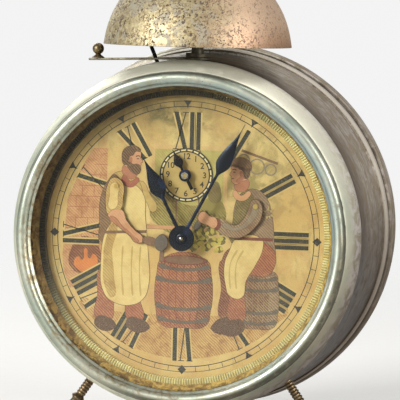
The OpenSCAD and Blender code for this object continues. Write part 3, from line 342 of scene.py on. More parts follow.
def makeReflectorBrass():
    s = Shader("reflector brass")
    x, y, z = s.axes(s.place())
    r = radius(x, z)
    blotch = s.noise(2.6, 5, 0.7, 0.7)
    shade = (z - x * 0.7).rise(-20, 60)  # painted shade: darker towards the top left, where the bezel shadows the cone
    colour = s.mix(blotch.rise(0.36, 0.64), reflectorTone["pale"], reflectorTone["deep"])
    colour = s.mix(shade * 0.8, colour, reflectorTone["bezelShadow"])
    dirt = r.rise(54.0, 55.4) * (blotch + s.noise(1.1, 3) * 0.5).rise(0.62, 0.86)
    colour = s.mix(dirt * 0.9, colour, reflectorTone["dirt"])
    return s.finish(Base_Color=colour, Metallic=0.55 - dirt * 0.4,
                    Roughness=0.34 + blotch * 0.25 + dirt * 0.2, Normal=s.bump(blotch - dirt, 0.03, 0.6))


milledTone = tones({"pale": (255, 246, 186), "deep": (234, 214, 142), "shade": (38, 33, 20),
                    "gap": (84, 70, 40)})


def makeMilledBrass():
    s = Shader("milled brass")
    x, y, z = s.axes(s.place())
    blotch = s.noise(3.0, 4, 0.6)
    shade = (z - x).rise(-10, 44)
    colour = s.mix(blotch.rise(0.35, 0.7), milledTone["pale"], milledTone["deep"])
    colour = s.mix(shade * 0.95, colour, milledTone["shade"])
    # The gaps between the teeth are darkened: painted shade in the recesses
    phase = x.maths("ARCTAN2", x, z) * -milling["teeth"]
    gaps = 1 - phase.maths("COSINE", phase).rise(-0.9, 0.2)
    colour = s.mix(gaps * 0.55, colour, milledTone["gap"])
    return s.finish(Base_Color=colour, Metallic=0.42, Roughness=0.28 + blotch * 0.2,
                    Normal=s.bump(blotch, 0.01, 0.5))


bluedTone = tones({"pale": (28, 33, 42), "deep": (20, 22, 25), "sheen": (42, 56, 88)})


def makeBluedSteel():
    s = Shader("blued steel")
    patch = s.noise(1.6, 3, 0.6)
    fine = s.noise(0.25, 2, 0.5)
    sheen = s.noise(5, 2, 0.5).rise(0.52, 0.66)
    colour = s.mix(patch.rise(0.35, 0.7), bluedTone["pale"], bluedTone["deep"])
    colour = s.mix(sheen * 0.6, colour, bluedTone["sheen"])
    return s.finish(Base_Color=colour, Metallic=0.75, Roughness=0.22 + patch * 0.2 + fine * 0.05,
                    Normal=s.bump(fine + patch, 0.006, 0.5))


def makeSteel(name, light, deep, rough):
    s = Shader(name)
    patch = s.noise(2.4, 4, 0.65)
    spots = s.noise(1.1, 3, 0.6).rise(0.56, 0.7)
    colour = s.mix(patch.rise(0.3, 0.7), srgb(*light), srgb(*deep))
    colour = s.mix(spots * 0.6, colour, srgb(96, 66, 40))
    return s.finish(Base_Color=colour, Metallic=1 - spots * 0.5, Roughness=rough + patch * 0.15 + spots * 0.2,
                    Normal=s.bump(patch + spots, 0.01, 0.6))


def makeGlass():
    s = Shader("clear glass")
    clear = s.add("ShaderNodeBsdfTransparent", {}, {"Color": (0.985, 0.995, 0.985, 1)})
    gloss = s.add("ShaderNodeBsdfAnisotropic", {}, {"Color": (1, 1, 1, 1), "Roughness": 0.04})
    edge = s.add("ShaderNodeFresnel", {}, {"IOR": 1.35})
    mixed = s.add("ShaderNodeMixShader", {}, {0: edge, 1: clear, 2: gloss})
    s.add("ShaderNodeOutputMaterial", {}, {"Surface": mixed})
    return s.material


paper = tones({"light": (220, 194, 126), "ochre": (206, 170, 100), "tan": (200, 154, 96),
               "olive": (146, 132, 72), "dark": (92, 76, 46), "topShadow": (152, 150, 124),
               "rim": (190, 158, 90), "grain": (150, 112, 62)})


def paperColour(s):
    x, y, z = s.axes(s.place())
    broad = s.noise(22, 3, 0.55)
    cloud = s.noise(7, 4, 0.6, 0.4)
    grain = s.noise(0.5, 3, 0.7)
    colour = s.mix(broad.rise(0.34, 0.62), paper["light"], paper["ochre"])
    colour = s.mix(cloud.rise(0.45, 0.7) * 0.7, colour, paper["tan"])
    streak = s.noise(9, 5, 0.7, 1.2, s.place(scale=(1.6, 1, 0.5)))
    colour = s.mix(streak.rise(0.54, 0.68) * 0.35, colour, paper["olive"])
    damp = ((x - 14).near(10, 30) * (z - 12).near(10, 28) + (x + 8).near(0, 24) * (z - 44).near(0, 12) * 1.3)
    colour = s.mix(damp * cloud.rise(0.40, 0.62) * 0.85, colour, paper["olive"])
    colour = s.mix(damp * s.noise(3.2, 4, 0.6, 0.6).rise(0.58, 0.72) * 0.8, colour, paper["dark"])
    # Painted shadow of the bezel across the top of the dial
    topShadow = (z - x * 0.25).rise(34, 50) * (0.45 + cloud * 0.7)
    colour = s.darken(topShadow, colour, paper["topShadow"])
    rim = radius(x, z).rise(44, 52)
    colour = s.mix(rim * 0.35, colour, paper["rim"])
    colour = s.mix(grain.rise(0.45, 0.75) * 0.30, colour, paper["grain"])
    return colour, grain, cloud


def makePaper():
    s = Shader("dial paper")
    colour, grain, cloud = paperColour(s)
    return s.finish(Base_Color=colour, Roughness=0.62, Normal=s.bump(grain + cloud * 3, 0.03, 0.6))


inkWear = tones({"cut": (178, 140, 116), "fold": (196, 160, 130), "age": (206, 176, 130)})


def makeInk():
    s = Shader("printed ink")
    ink = s.add("ShaderNodeAttribute", {"attribute_name": "ink"}, {}, "Color")
    hatched = s.add("ShaderNodeAttribute", {"attribute_name": "ink"}, {}, "Alpha")
    under, grain, cloud = paperColour(s)
    lines = s.add("ShaderNodeTexWave", {"wave_type": "BANDS", "bands_direction": "DIAGONAL"},
                  {"Vector": s.place(), "Scale": 560, "Distortion": 6, "Detail": 2.5, "Detail Scale": 0.3},
                  "Fac")
    hatch = lines.rise(0.4, 0.85) * hatched
    colour = s.mix(hatch * 0.45, ink, under)
    cuts = (1 - lines.rise(0.12, 0.5)) * hatched
    colour = s.darken(cuts * 0.6, colour, inkWear["cut"])
    fold = s.noise(3.0, 4, 0.65, 0.9).rise(0.48, 0.64) * hatched
    colour = s.darken(fold * 0.6, colour, inkWear["fold"])
    worn = s.noise(0.8, 4, 0.7).rise(0.52, 0.72)
    colour = s.mix(worn * 0.28, colour, under)
    colour = s.darken(cloud.rise(0.4, 0.7) * 0.35, colour, inkWear["age"])
    return s.finish(Base_Color=colour, Roughness=0.6, Normal=s.bump(grain + cloud * 3, 0.03, 0.6))


studio = tones({"floor": (224, 223, 220), "floorGrain": (219, 218, 215)})
studio.update(floorRadius=9, floorFade=(250, 900), soft=0.34, backdrop=(0.9, 0.9, 0.9, 1))


def makeFloor():
    s = Shader("pale floor")
    colour = s.mix(s.noise(3, 3, 0.6), studio["floor"], studio["floorGrain"])
    surface = s.add("ShaderNodeBsdfPrincipled", {}, {"Base Color": colour, "Roughness": 0.8})
    clear = s.add("ShaderNodeBsdfTransparent", {}, {})
    x, y, z = s.axes(s.place())
    mixed = s.add("ShaderNodeMixShader", {}, {0: radius(x, y).rise(*studio["floorFade"]), 1: surface,
                                                2: clear})
    s.add("ShaderNodeOutputMaterial", {}, {"Surface": mixed})
    return s.material


finishes = {
    "nickel": makeNickel("case nickel"),
    "bezel": makeNickel("bezel nickel", bezel=True),
    "bell": makeBellBrass(),
    "reflector": makeReflectorBrass(),
    "milled": makeMilledBrass(),
    "legs": makeBrass("leg brass", (150, 130, 100), (96, 80, 60), 0.34, 2.5),
    "keys": makeBrass("key brass", (158, 134, 88), (112, 90, 58), 0.38, 3),
    "movement": makeBrass("movement brass", (206, 176, 104), (176, 142, 78), 0.28, 9),
    "ball": makeBrass("ball brass", (132, 116, 86), (82, 70, 50), 0.3, 1.6),
    "blued": makeBluedSteel(),
    "steel": makeSteel("movement steel", (176, 176, 174), (136, 134, 130), 0.25),
    "strip": makeSteel("strip steel", (122, 118, 102), (90, 83, 68), 0.48),
    "black": makeSteel("blackened steel", (44, 42, 42), (26, 24, 24), 0.4),
    "pin": makeSteel("bright pin", (226, 224, 216), (190, 184, 170), 0.15),
    "glass": makeGlass(),
    "paper": makePaper(),
    "ink": makeInk(),
    "floor": makeFloor(),
}
print("finishes made:", len(finishes))


# Making pieces

def asMesh(bm, name):
    mesh = bpy.data.meshes.new(name)
    bm.to_mesh(mesh)
    bm.free()
    return mesh


def place(bm, name, finish, body, replaces=(), sharp=35):
    mesh = asMesh(bm, name)
    mesh.materials.append(finishes[finish])
    for face in mesh.polygons:
        face.use_smooth = sharp > 0
    if sharp:
        mesh.set_sharp_from_angle(angle=math.radians(sharp))
    obj = bpy.data.objects.new(name, mesh)
    bpy.context.scene.collection.objects.link(obj)
    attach(obj, body)
    if replaces:
        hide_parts(*replaces)
    return obj


def spin(bm, points, middle, axis, steps=160, closed=True):
    # points are (radius, distance along the axis) in millimetres
    axis = Vector(axis)
    out = Vector((1, 0, 0))
    verts = [bm.verts.new(middle + (out * r + axis * d) * mm) for r, d in points]
    edges = [bm.edges.new(pair) for pair in zip(verts, verts[1:] + verts[:1] if closed else verts[1:])]
    before = set(bm.faces)
    bmesh.ops.spin(bm, geom=verts + edges, cent=middle, axis=axis, angle=turn, steps=steps, use_merge=True)
    bmesh.ops.remove_doubles(bm, verts=bm.verts, dist=1e-6)
    faces = [f for f in bm.faces if f not in before]
    bmesh.ops.recalc_face_normals(bm, faces=faces)
    return faces


def lathe(points, middle=hub, axis=(0, 1, 0), steps=160):
    bm = bmesh.new()
    spin(bm, points, middle, axis, steps)
    return bm


def polar(middle, r, angle):
    return middle[0] + r * math.cos(math.radians(angle)), middle[1] + r * math.sin(math.radians(angle))


def arc(middle, r, start, end, count):  # degrees, from the radius axis towards the depth axis
    return [polar(middle, r, start + (end - start) * i / count) for i in range(count + 1)]


def flat(points, grow=0.0, smooth=True, thick=0.0, rounded=0.0, holes=()):
    # A filled outline in the dial's plane, as a mesh that faces the viewer
    curve = bpy.data.curves.new("outline", "CURVE")
    curve.dimensions = "2D"
    curve.fill_mode = "BOTH"
    curve.resolution_u = 5
    curve.offset = grow * mm
    curve.extrude = max(thick / 2 - rounded, 0) * mm
    curve.bevel_depth = rounded * mm
    curve.bevel_resolution = 2
    for loop in (points, *holes):
        spline = curve.splines.new("BEZIER")
        spline.bezier_points.add(len(loop) - 1)
        spline.use_cyclic_u = True
        for knot, (x, z) in zip(spline.bezier_points, loop):
            knot.co = (x * mm, z * mm, 0)
            knot.handle_left_type = knot.handle_right_type = "AUTO" if smooth else "VECTOR"
    holder = bpy.data.objects.new("outline", curve)
    mesh = bpy.data.meshes.new_from_object(holder)
    bpy.data.objects.remove(holder)
    bpy.data.curves.remove(curve)
    return mesh


def upright(depth):  # stands a flat mesh up, depth in millimetres behind the dial's face
    return Matrix.Translation(hub + Vector((0, depth * mm, 0))) @ Matrix.Rotation(math.radians(90), 4, "X")


def gather(bm, mesh, matrix):
    mesh.transform(matrix)
    before = len(bm.faces)
    bm.from_mesh(mesh)
    bpy.data.meshes.remove(mesh)
    bm.faces.ensure_lookup_table()
    return bm.faces[before:]


# Case, bezel, reflector and sight ring

case = {
    "mouth": 59.55, "mouthDepth": -10.3, "bead": 63.75, "beadDepth": 1.9, "groove": 62.85,
    "grooveDepth": 9.9, "flare": 66.05, "flareDepth": 46.7, "wall": 0.8, "step": 1.6, "stepHeight": 0.5,
    "rearBead": 1.3, "rearBeadLength": 10, "rim": 2.7, "rimLength": 10, "rimBase": 0.4, "cover": 63.9,
    "slot": (-24, -7), "slotDepth": (17.95, 21.95), "slotHeight": 20,
}


def caseCurve(inset):
    c = case
    shoulder = [(c["mouth"] + (c["bead"] - c["mouth"]) * u ** 0.62,
                 c["mouthDepth"] + (c["beadDepth"] - c["mouthDepth"]) * u)
                for u in ((i / 22) ** 1.5 for i in range(22))]
    groove = [(c["groove"] + (c["bead"] - c["groove"]) * (1 - i / 14) ** 3,
               c["beadDepth"] + (c["grooveDepth"] - c["beadDepth"]) * i / 14) for i in range(1, 15)]
    edge = []  # rounds the shoulder's edge between the last point before it and the first behind it
    for i in range(1, 8):
        u = i / 8
        edge.append(tuple(a * (1 - u) ** 2 + b * 2 * u * (1 - u) + d * u ** 2
                          for a, b, d in zip(shoulder[-1], (c["bead"], c["beadDepth"]), groove[1])))
    flare = [(c["groove"] + (c["flare"] - c["groove"]) * (i / 14) ** 1.7,
              c["grooveDepth"] + (c["flareDepth"] - c["grooveDepth"]) * i / 14) for i in range(1, 15)]
    return [(r - inset, d) for r, d in shoulder + edge + groove[1:] + flare]


def makeCase():
    c = case
    outer = [(c["mouth"], c["mouthDepth"] + c["wall"])] + caseCurve(0)
    for i in range(2):
        for part, height in ((0.2, c["stepHeight"]), (0.8, c["stepHeight"]), (1.0, 0.1)):
            outer.append((c["flare"] + height, c["flareDepth"] + c["step"] * (i + part) / 2))
    start = c["flareDepth"] + c["step"]
    outer += [(c["flare"] + 0.1 + (c["rearBead"] - 0.1) * math.sin(math.pi * i / 14),
               start + c["rearBeadLength"] * i / 14)
              for i in range(1, 14)]
    start += c["rearBeadLength"]
    coverEdge = c["flare"] + c["rimBase"]
    outer += [(coverEdge + (c["rim"] - c["rimBase"]) * max(math.sin(math.pi * i / 18), 0) ** 0.8,
               start + c["rimLength"] * (1 - math.cos(math.pi * i / 18)) / 2) for i in range(19)]
    back = c["flare"] - c["wall"]
    wall = [p for p in caseCurve(c["wall"])[::-1] if p[0] > c["mouth"]]
    inner = [(coverEdge, c["cover"]), (back, c["cover"])] + wall
    drum = place(lathe(outer + inner, steps=220), "drum", "nickel", "case", ["case_drum"], 30)
    (left, right), (front, behind) = c["slot"], c["slotDepth"]
    middle = Matrix.Translation(fromHub((left + right) / 2, (front + behind) / 2, c["groove"]))
    size = Matrix.Diagonal(Vector((right - left, behind - front, c["slotHeight"])) * mm).to_4x4()
    cutter = bmesh.new()
    bmesh.ops.create_cube(cutter, size=1, matrix=middle @ size)
    cutObj = bpy.data.objects.new("slot", asMesh(cutter, "slot"))
    bpy.context.scene.collection.objects.link(cutObj)
    cut = drum.modifiers.new("slot", "BOOLEAN")
    cut.operation, cut.object, cut.solver = "DIFFERENCE", cutObj, "EXACT"
    bpy.context.view_layer.update()
    holed = bpy.data.meshes.new_from_object(drum.evaluated_get(bpy.context.evaluated_depsgraph_get()))
    drum.modifiers.remove(cut)
    drum.data = holed
    bpy.data.objects.remove(cutObj)


bezelSize = {"opening": 55.4, "lip": 54.5, "roll": 2.05, "rollDepth": -10.6, "tube": 6, "tubeWall": 1,
             "glass": 56.2, "glassDepth": -9.8, "reflectorBack": -8.35, "sight": 53, "sightHeight": 3.4,
             "dial": 51, "sheet": 0.5}


def makeBezel():
    b = bezelSize
    middle = (b["opening"] + b["roll"], b["rollDepth"])
    outerR = b["opening"] + 2 * b["roll"]
    points = [(b["lip"], b["glassDepth"] - 0.03), (b["lip"], b["glassDepth"] - 0.15),
              (b["lip"] + 0.12, b["glassDepth"] - 0.28)]
    points += arc(middle, b["roll"], 184, 360, 40)
    points += [(outerR, b["rollDepth"] + b["tube"]), (outerR - b["tubeWall"], b["rollDepth"] + b["tube"]),
               (outerR - b["tubeWall"], b["rollDepth"] + b["roll"]),
               (b["glass"] + 0.05, b["rollDepth"] + b["roll"]), (b["glass"] + 0.05, b["glassDepth"])]
    bm = lathe(points, steps=220)
    place(bm, "bezel_roll", "bezel", "case", ["bezel"], 40)


def makeReflector():
    b = bezelSize
    low, high = (b["sight"], -b["sightHeight"]), (b["glass"] - 0.4, b["reflectorBack"])
    points = [(low[0] + (high[0] - low[0]) * t + 0.25 * math.sin(math.pi * t),
               low[1] + (high[1] - low[1]) * t)
              for t in (i / 6 for i in range(7))]
    points += [(r + b["sheet"], d) for r, d in points[::-1]]
    bm = lathe(points, steps=220)
    place(bm, "reflector_cone", "reflector", "case", ["reflector"], 40)


def makeSightRing():
    b = bezelSize
    front = -b["sightHeight"] + 0.05
    inner, outer = b["dial"], b["sight"] + b["sheet"]
    points = [(inner, -0.05), (inner, front + milling["slope"]), (inner + 0.3, front + 0.1),
              (b["sight"] - 0.2, front), (b["sight"], front + 0.25), (outer, front + 0.3),
              (outer, front + 0.6), (inner + b["sheet"], front + 0.9), (inner + b["sheet"], -0.05)]
    bm = lathe(points, steps=milling["teeth"] * 2)
    # Every other step of the ring's front is pressed in, which leaves the teeth
    pressed = []
    for vert in bm.verts:
        offset = vert.co - hub
        r, depth = math.hypot(offset.x, offset.z) / mm, offset.y / mm
        step = round(math.atan2(offset.z, offset.x) / turn * milling["teeth"] * 2)
        if step % 2 and inner + 0.1 < r < b["sight"] - 0.1 and depth < front + 0.2:
            pressed.append(vert)
    bmesh.ops.translate(bm, verts=pressed, vec=(0, milling["depth"] * mm, 0))
    place(bm, "milled_ring", "milled", "case", ["sight_ring"], 20)


makeCamera()
makeLamps()
makeCase()
makeBezel()
makeReflector()
makeSightRing()
print("case, bezel, reflector and milled ring made")


# Bell and its nut, the stop lever and its ball

bellSize = {"rim": 34.2, "height": 31, "wall": 1.2, "lip": 0.7, "depth": 16.4, "rimHeight": 68.45}


def bellCurve(inset):
    b = bellSize
    return [((b["rim"] - b["lip"] - inset) * math.cos(t) + b["lip"] * (1 - math.sin(t)) ** 6,
             (b["height"] - inset) * math.sin(t)) for t in (math.pi / 2 * i / 40 for i in range(41))]


def makeBell():
    b = bellSize
    middle = fromHub(0, b["depth"], b["rimHeight"])
    hole = 1.65
    outer = [p for p in bellCurve(0) if p[0] > hole] + [(hole, b["height"])]
    inner = [p for p in bellCurve(b["wall"]) if p[0] > hole] + [(hole, b["height"] - b["wall"])]
    outer[0] = (outer[0][0] - 0.12, outer[0][1])
    outer.insert(1, (outer[0][0] + 0.12, 0.15))
    bm = lathe(outer + inner[::-1], middle, (0, 0, 1), 200)
    place(bm, "bell_shell", "bell", "case", ["bell"], 35)
    nut = [(0, 0.05), (5, 0.05), (5, 1.0), (4.7, 1.2), (3.4, 1.25), (3.4, 2.2), (2.4, 2.7)]
    nut += arc((0, 4.6), 2.9, -35, 90, 14)
    bm = lathe(nut, fromHub(0, b["depth"], b["rimHeight"] + b["height"]), (0, 0, 1), 64)
    place(bm, "bell_finial", "legs", "case", ["bell_nut"], 35)


lever = {"ball": 2.1, "height": 63.35, "thick": 0.8, "droop": 2}


def makeStopKnob():
    low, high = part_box("stop_knob")
    middle = Vector(((low.x + high.x) / 2, (low.y + high.y) / 2, low.z))
    profile = [(0, 0), (2.3, 0), (2.35, 0.15), (1.9, 0.5), (1.1, 1.05), (0.85, 1.5)]
    profile += arc((0, 3.3), lever["ball"], -62, 90, 20)
    bm = lathe(profile, middle, (0, 0, 1), 64)
    place(bm, "stop_ball", "ball", "stop_body", ["stop_knob"], 35)


def makeStopLever():
    outline = [(0, -2.3), (-32.5, -1.75), (-36.2, -0.55), (-36.45, 0), (-36.2, 0.55), (-32.5, 1.75), (0, 2.3)]
    mesh = flat(outline, grow=-0.2, smooth=False, thick=lever["thick"], rounded=0.2)
    bm = bmesh.new()
    root = fromHub(-4, bellSize["depth"], lever["height"] + lever["thick"] / 2)
    gather(bm, mesh, Matrix.Translation(root) @ Matrix.Rotation(-math.radians(lever["droop"]), 4, "Y"))
    top = lever["height"] + lever["thick"]
    profile = [(2.25, lever["height"]), (4.8, lever["height"]), (5, lever["height"] + 0.2), (5, top - 0.2),
               (4.8, top), (2.25, top)]
    spin(bm, profile, fromHub(0, bellSize["depth"], 0), (0, 0, 1), 64)
    place(bm, "stop_strip", "strip", "stop_body", ["stop_lever"], 35)


makeBell()
makeStopKnob()
makeStopLever()
print("bell and stop lever made")


# Legs: a threaded part, a turned shank and a ball foot

leg = {"splay": 34, "length": 26, "radius": 1.75, "pitch": 1.2, "foot": 3.6, "depth": 19, "root": 63.17,
       "thread": 12, "inside": 14.17, "rearDepth": 53.3, "rearRoot": 67.35, "rearThread": 9, "rearInside": 6}


def legProfile(length, thread):
    r, pitch = leg["radius"], leg["pitch"]
    points = [(0, 0)]
    for i in range(int(thread / pitch)):
        z = i * pitch
        points += [(r - 0.32, z + 0.02), (r - 0.12, z + 0.22), (r, z + 0.45), (r, z + 0.75),
                   (r - 0.12, z + 0.98), (r - 0.32, z + 1.18)]
    neck = length - thread
    points += [(r + 0.45, thread), (r + 0.75, thread + 0.35), (r + 0.75, thread + 0.8),
               (r + 0.45, thread + 1.2), (r + 0.05, thread + 1.7), (r + 0.05, thread + 2.3)]
    points += [(r + 0.1 + 0.8 * math.sin(math.pi * i / 8) ** 1.5,
                thread + 2.4 + (neck - 5.4) * i / 8) for i in range(1, 8)]
    return points + [(r, length - 3.4)]


def makeLeg(matrix, length, thread):
    points = legProfile(length, thread)
    points += [(leg["foot"] * math.sin(t), length - leg["foot"] * math.cos(t))
               for t in (math.radians(a) for a in range(36, 181, 8))]
    bm = bmesh.new()
    spin(bm, points, Vector((0, 0, 0)), (0, 0, 1), 48, closed=False)
    bmesh.ops.transform(bm, matrix=matrix, verts=bm.verts)
    bmesh.ops.bisect_plane(bm, geom=bm.verts[:] + bm.edges[:] + bm.faces[:], plane_co=(0, 0, 0),
                           plane_no=(0, 0, -1), clear_outer=True)
    bmesh.ops.holes_fill(bm, edges=[e for e in bm.edges if e.is_boundary], sides=0)
    bmesh.ops.recalc_face_normals(bm, faces=bm.faces)
    return bm


def makeLegs():
    both = bmesh.new()
    down = Matrix.Rotation(math.pi, 4, "X")
    root = Matrix.Translation((0, 0, (leg["root"] - leg["inside"]) * mm))
    for side in (-1, 1):
        splayed = Matrix.Rotation(-side * math.radians(leg["splay"]), 4, "Y")
        matrix = Matrix.Translation(fromHub(0, leg["depth"], 0)) @ splayed @ down @ root
        part = makeLeg(matrix, leg["length"] + leg["inside"], leg["thread"] + leg["inside"])
        gather(both, asMesh(part, "leg"), Matrix())
    place(both, "turned_front_legs", "legs", "case", ["front_legs"], 40)
    inside = leg["rearInside"]
    drop = (leg["root"] + leg["length"]) * math.cos(math.radians(leg["splay"])) - leg["rearRoot"] + inside
    start = fromHub(0, leg["rearDepth"], inside - leg["rearRoot"])
    bm = makeLeg(Matrix.Translation(start) @ down, drop, leg["rearThread"])
    place(bm, "turned_rear_leg", "legs", "case", ["rear_leg"], 40)


makeLegs()
print("legs made")


# Hands and hub

minuteHand = {"turn": 28, "front": -6.5, "thick": 0.5, "root": (0.66, 0), "neck": (0.52, 26.2),
              "wide": (2.65, 31), "tip": 46.9}
hourHand = {"turn": -27.7, "front": -5.3, "thick": 0.5, "root": (0.7, 0), "neck": (0.56, 15.6),
            "wide": (3.0, 20.0), "tip": 33.5}
alarmHand = {"turn": -28, "front": -2.6, "thick": 0.5, "root": (0.6, -5.6), "neck": (0.42, 3.0),
             "wide": (1.65, 5.3), "tip": 10.2, "at": (0, 22.3)}


def handRows(hand):  # (half width, distance from the arbor) from root to tip
    (root, start), (neck, narrow), (wide, middle) = hand["root"], hand["neck"], hand["wide"]
    rows = [(root + (neck - root) * i / 6, start + (narrow - start) * i / 6) for i in range(6)]
    rows += [(neck + (wide - neck) * math.sin(math.pi / 2 * i / 10) ** 1.4,
              narrow + (middle - narrow) * i / 10)
             for i in range(10)]
    rows += [(max(wide * math.cos(math.pi / 2 * i / 24) ** 2.6, neck * 0.45 * (1 - i / 24) + 0.05),
              middle + (hand["tip"] - middle) * i / 24) for i in range(25)]
    return rows


def makeHand(name, hand, body, node, middle=(0, 0), metal="blued"):
    # Each row crosses the hand with a low swell in its middle, over a flat back
    swell = 0.28
    bm = bmesh.new()
    rows = []
    for half, z in handRows(hand):
        rise = swell * min(half, 1.6) / 1.6
        front = [(half * s, z, rise * (1 - s * s)) for s in (-1, -0.8, -0.5, 0, 0.5, 0.8, 1)]
        points = front + [(half, z, -hand["thick"]), (-half, z, -hand["thick"])]
        rows.append([bm.verts.new(Vector(point) * mm) for point in points])
    for below, above in zip(rows, rows[1:]):
        for i in range(len(below)):
            k = (i + 1) % len(below)
            bm.faces.new((below[i], below[k], above[k], above[i]))
    for end in (rows[0], rows[-1]):
        bm.faces.new(end)
    bmesh.ops.recalc_face_normals(bm, faces=bm.faces)
    arbor = Matrix.Translation(Vector((*middle, 0)) * mm)
    aim = arbor @ Matrix.Rotation(-math.radians(hand["turn"]), 4, "Z")
    bmesh.ops.transform(bm, matrix=upright(hand["front"]) @ aim, verts=bm.verts)
    place(bm, name, metal, body, [node], 40)


def makeHub():
    front = minuteHand["front"]
    profile = [(0.95, 0), (4.45, 0), (4.62, 0.15), (4.62, 0.45), (4.45, 0.62), (2.15, 0.66), (2.0, 0.5),
               (1.85, 0.5), (1.7, 0.82), (1.2, 0.95), (0.95, 0.9)]
    profile = [(r, front - rise) for r, rise in profile]
    bm = lathe(profile, steps=96)
    place(bm, "hub_disc", "blued", "minute_body", ["hand_hub"], 25)
    dome = [(0, front)] + [(0.92, front)] + arc((0, front - 0.9), 0.92, 0, -90, 10)
    bm = lathe(dome, steps=48)
    place(bm, "hub_pin", "pin", "minute_body", (), 35)


makeHand("minute_spade", minuteHand, "minute_body", "minute_hand")
makeHand("hour_spade", hourHand, "hour_body", "hour_hand")
makeHand("alarm_pointer", alarmHand, "alarm_set_body", "alarm_hand", alarmHand["at"], "black")
makeHub()
print("hands made")


# Dial print: flat inks in thin layers on the paper

layerHeight = 0.02
inkTone = tones({
    "line": (92, 62, 38), "black": (46, 42, 30), "stroke": (50, 48, 30), "halo": (208, 179, 110),
    "skin": (206, 152, 110), "skinDeep": (176, 116, 82), "hair": (96, 68, 44), "cream": (224, 198, 128),
    "creamDeep": (194, 164, 94), "brick": (164, 94, 66), "brickDeep": (126, 66, 46),
    "brickPale": (204, 152, 104), "brown": (126, 94, 66), "greyBrown": (146, 122, 96),
    "olive": (116, 104, 54), "green": (146, 138, 62), "greenPale": (190, 178, 100), "moss": (92, 86, 38),
    "lime": (200, 186, 84), "earth": (204, 164, 98), "iron": (98, 88, 76), "ironPale": (142, 128, 106),
    "ember": (216, 126, 58), "plaster": (216, 182, 118), "white": (232, 216, 160), "gold": (190, 162, 92),
})
dialInk = bmesh.new()
dialTone = dialInk.loops.layers.float_color.new("ink")


def paint(faces, colour, marks, hatch=0.0):
    shade = inkTone[colour][:3] + (hatch,)
    for face in faces:
        for loop in face.loops:
            loop[marks] = shade


def tone(faces, colour, hatch=0.0, marks=dialTone):
    for face in faces:
        if face.normal.y > 0:
            face.normal_flip()
    paint(faces, colour, marks, hatch)


def ink(points, colour, layer, line=0.15, smooth=True, hatch=0.0, bm=None, base=0.0):
    bm = bm or dialInk
    marks = bm.loops.layers.float_color["ink"]
    if line:
        tone(gather(bm, flat(points, grow=line, smooth=smooth),
                    upright(base - layerHeight * (layer - 0.5))), "line", 0, marks)
    tone(gather(bm, flat(points, smooth=smooth), upright(base - layerHeight * layer)), colour, hatch, marks)


def inkRing(inner, outer, colour, layer, middle=(0, 0), steps=144):
    centre = fromHub(middle[0], -layerHeight * layer, middle[1])
    tone(spin(dialInk, [(inner, 0), (outer, 0)], centre, (0, 1, 0), steps, closed=False), colour)


def bar(a, b, width):
    dx, dz = b[0] - a[0], b[1] - a[1]
    length = math.hypot(dx, dz)
    nx, nz = -dz / length * width / 2, dx / length * width / 2
    return [(a[0] + nx, a[1] + nz), (a[0] - nx, a[1] - nz), (b[0] - nx, b[1] - nz), (b[0] + nx, b[1] + nz)]


def ringPoints(middle, r, count=20):
    return [polar(middle, r, 360 * i / count) for i in range(count)]


def turned(points, degrees, middle=(0, 0)):
    c, s = math.cos(math.radians(degrees)), math.sin(math.radians(degrees))
    return [(middle[0] + x * c + z * s, middle[1] - x * s + z * c) for x, z in points]


track = {"inner": 46.95, "outer": 48.75, "line": 0.2, "minute": 6}


def makeTrack():
    inkRing(track["inner"] - track["line"], track["inner"] + track["line"] / 2, "black", 1)
    inkRing(track["outer"], track["outer"] + track["line"], "black", 1)
    for minute in range(60):
        angle = minute * track["minute"]
        if minute % 15 == 0 and minute:
            mark = [(0, 46.3), (1.55, 48.0), (0, 49.7), (-1.55, 48.0)]
        elif minute % 5 == 0:
            mark = [(0, 46.2), (0.45, 47.6), (1.5, 49.1), (-1.5, 49.1), (-0.45, 47.6)]
        else:
            mark = bar((0, track["inner"]), (0, track["outer"]), 0.2)
        ink(turned(mark, angle), "black", 1.5, line=0, smooth=False)


numeral = {"low": 31.6, "high": 44.8, "stroke": 1.55, "thin": 0.4, "serif": 0.3, "gap": 0.82, "halo": 0.55}
numeralWidths = {"I": 1.55, "V": 4.7, "X": 5.0}


def numeralStrokes(letters):
    n = numeral
    total = sum(numeralWidths[c] for c in letters) + n["gap"] * (len(letters) - 1)
    x = -total / 2
    strokes = []
    for letter in letters:
        wide = numeralWidths[letter]
        left, right = x + n["stroke"] / 2, x + wide - n["stroke"] / 2
        if letter == "I":
            strokes.append(((left, n["low"]), (left, n["high"]), n["stroke"]))
        elif letter == "V":
            middle = x + wide / 2
            strokes += [((left, n["high"]), (middle - 0.2, n["low"]), n["stroke"]),
                        ((right + 0.3, n["high"]), (middle + 0.3, n["low"]), n["thin"])]
        else:
            strokes += [((left, n["high"]), (right, n["low"]), n["stroke"]),
                        ((right, n["high"]), (left, n["low"]), n["thin"])]
        for level in (n["low"], n["high"]):
            reach = 0.75 if letter == "I" else 1.1
            spots = [left, right]
            if letter == "I":
                spots = [left]
            elif letter == "V" and level == n["low"]:
                spots = [x + wide / 2]
            strokes += [((spot - reach, level), (spot + reach, level), n["serif"]) for spot in spots]
        x += wide + n["gap"]
    return strokes


def makeNumerals():
    for hour, letters in enumerate("XII I II III IIII V VI VII VIII IX X XI".split()):
        for a, b, width in numeralStrokes(letters):
            if width == numeral["stroke"]:
                ink(turned(bar(a, b, width + 2 * numeral["halo"]), hour * 30), "halo", 0.8, line=0,
                    smooth=False)
            ink(turned(bar(a, b, width), hour * 30), "stroke", 1, line=0, smooth=False)


subDial = {"at": (0, 22.3), "edge": 9.75, "ringIn": 8.25, "dash": (8.76, 9.26), "digits": 6.7,
           "digitHeight": 2.2, "layer": 12, "dashHalf": 5.5}


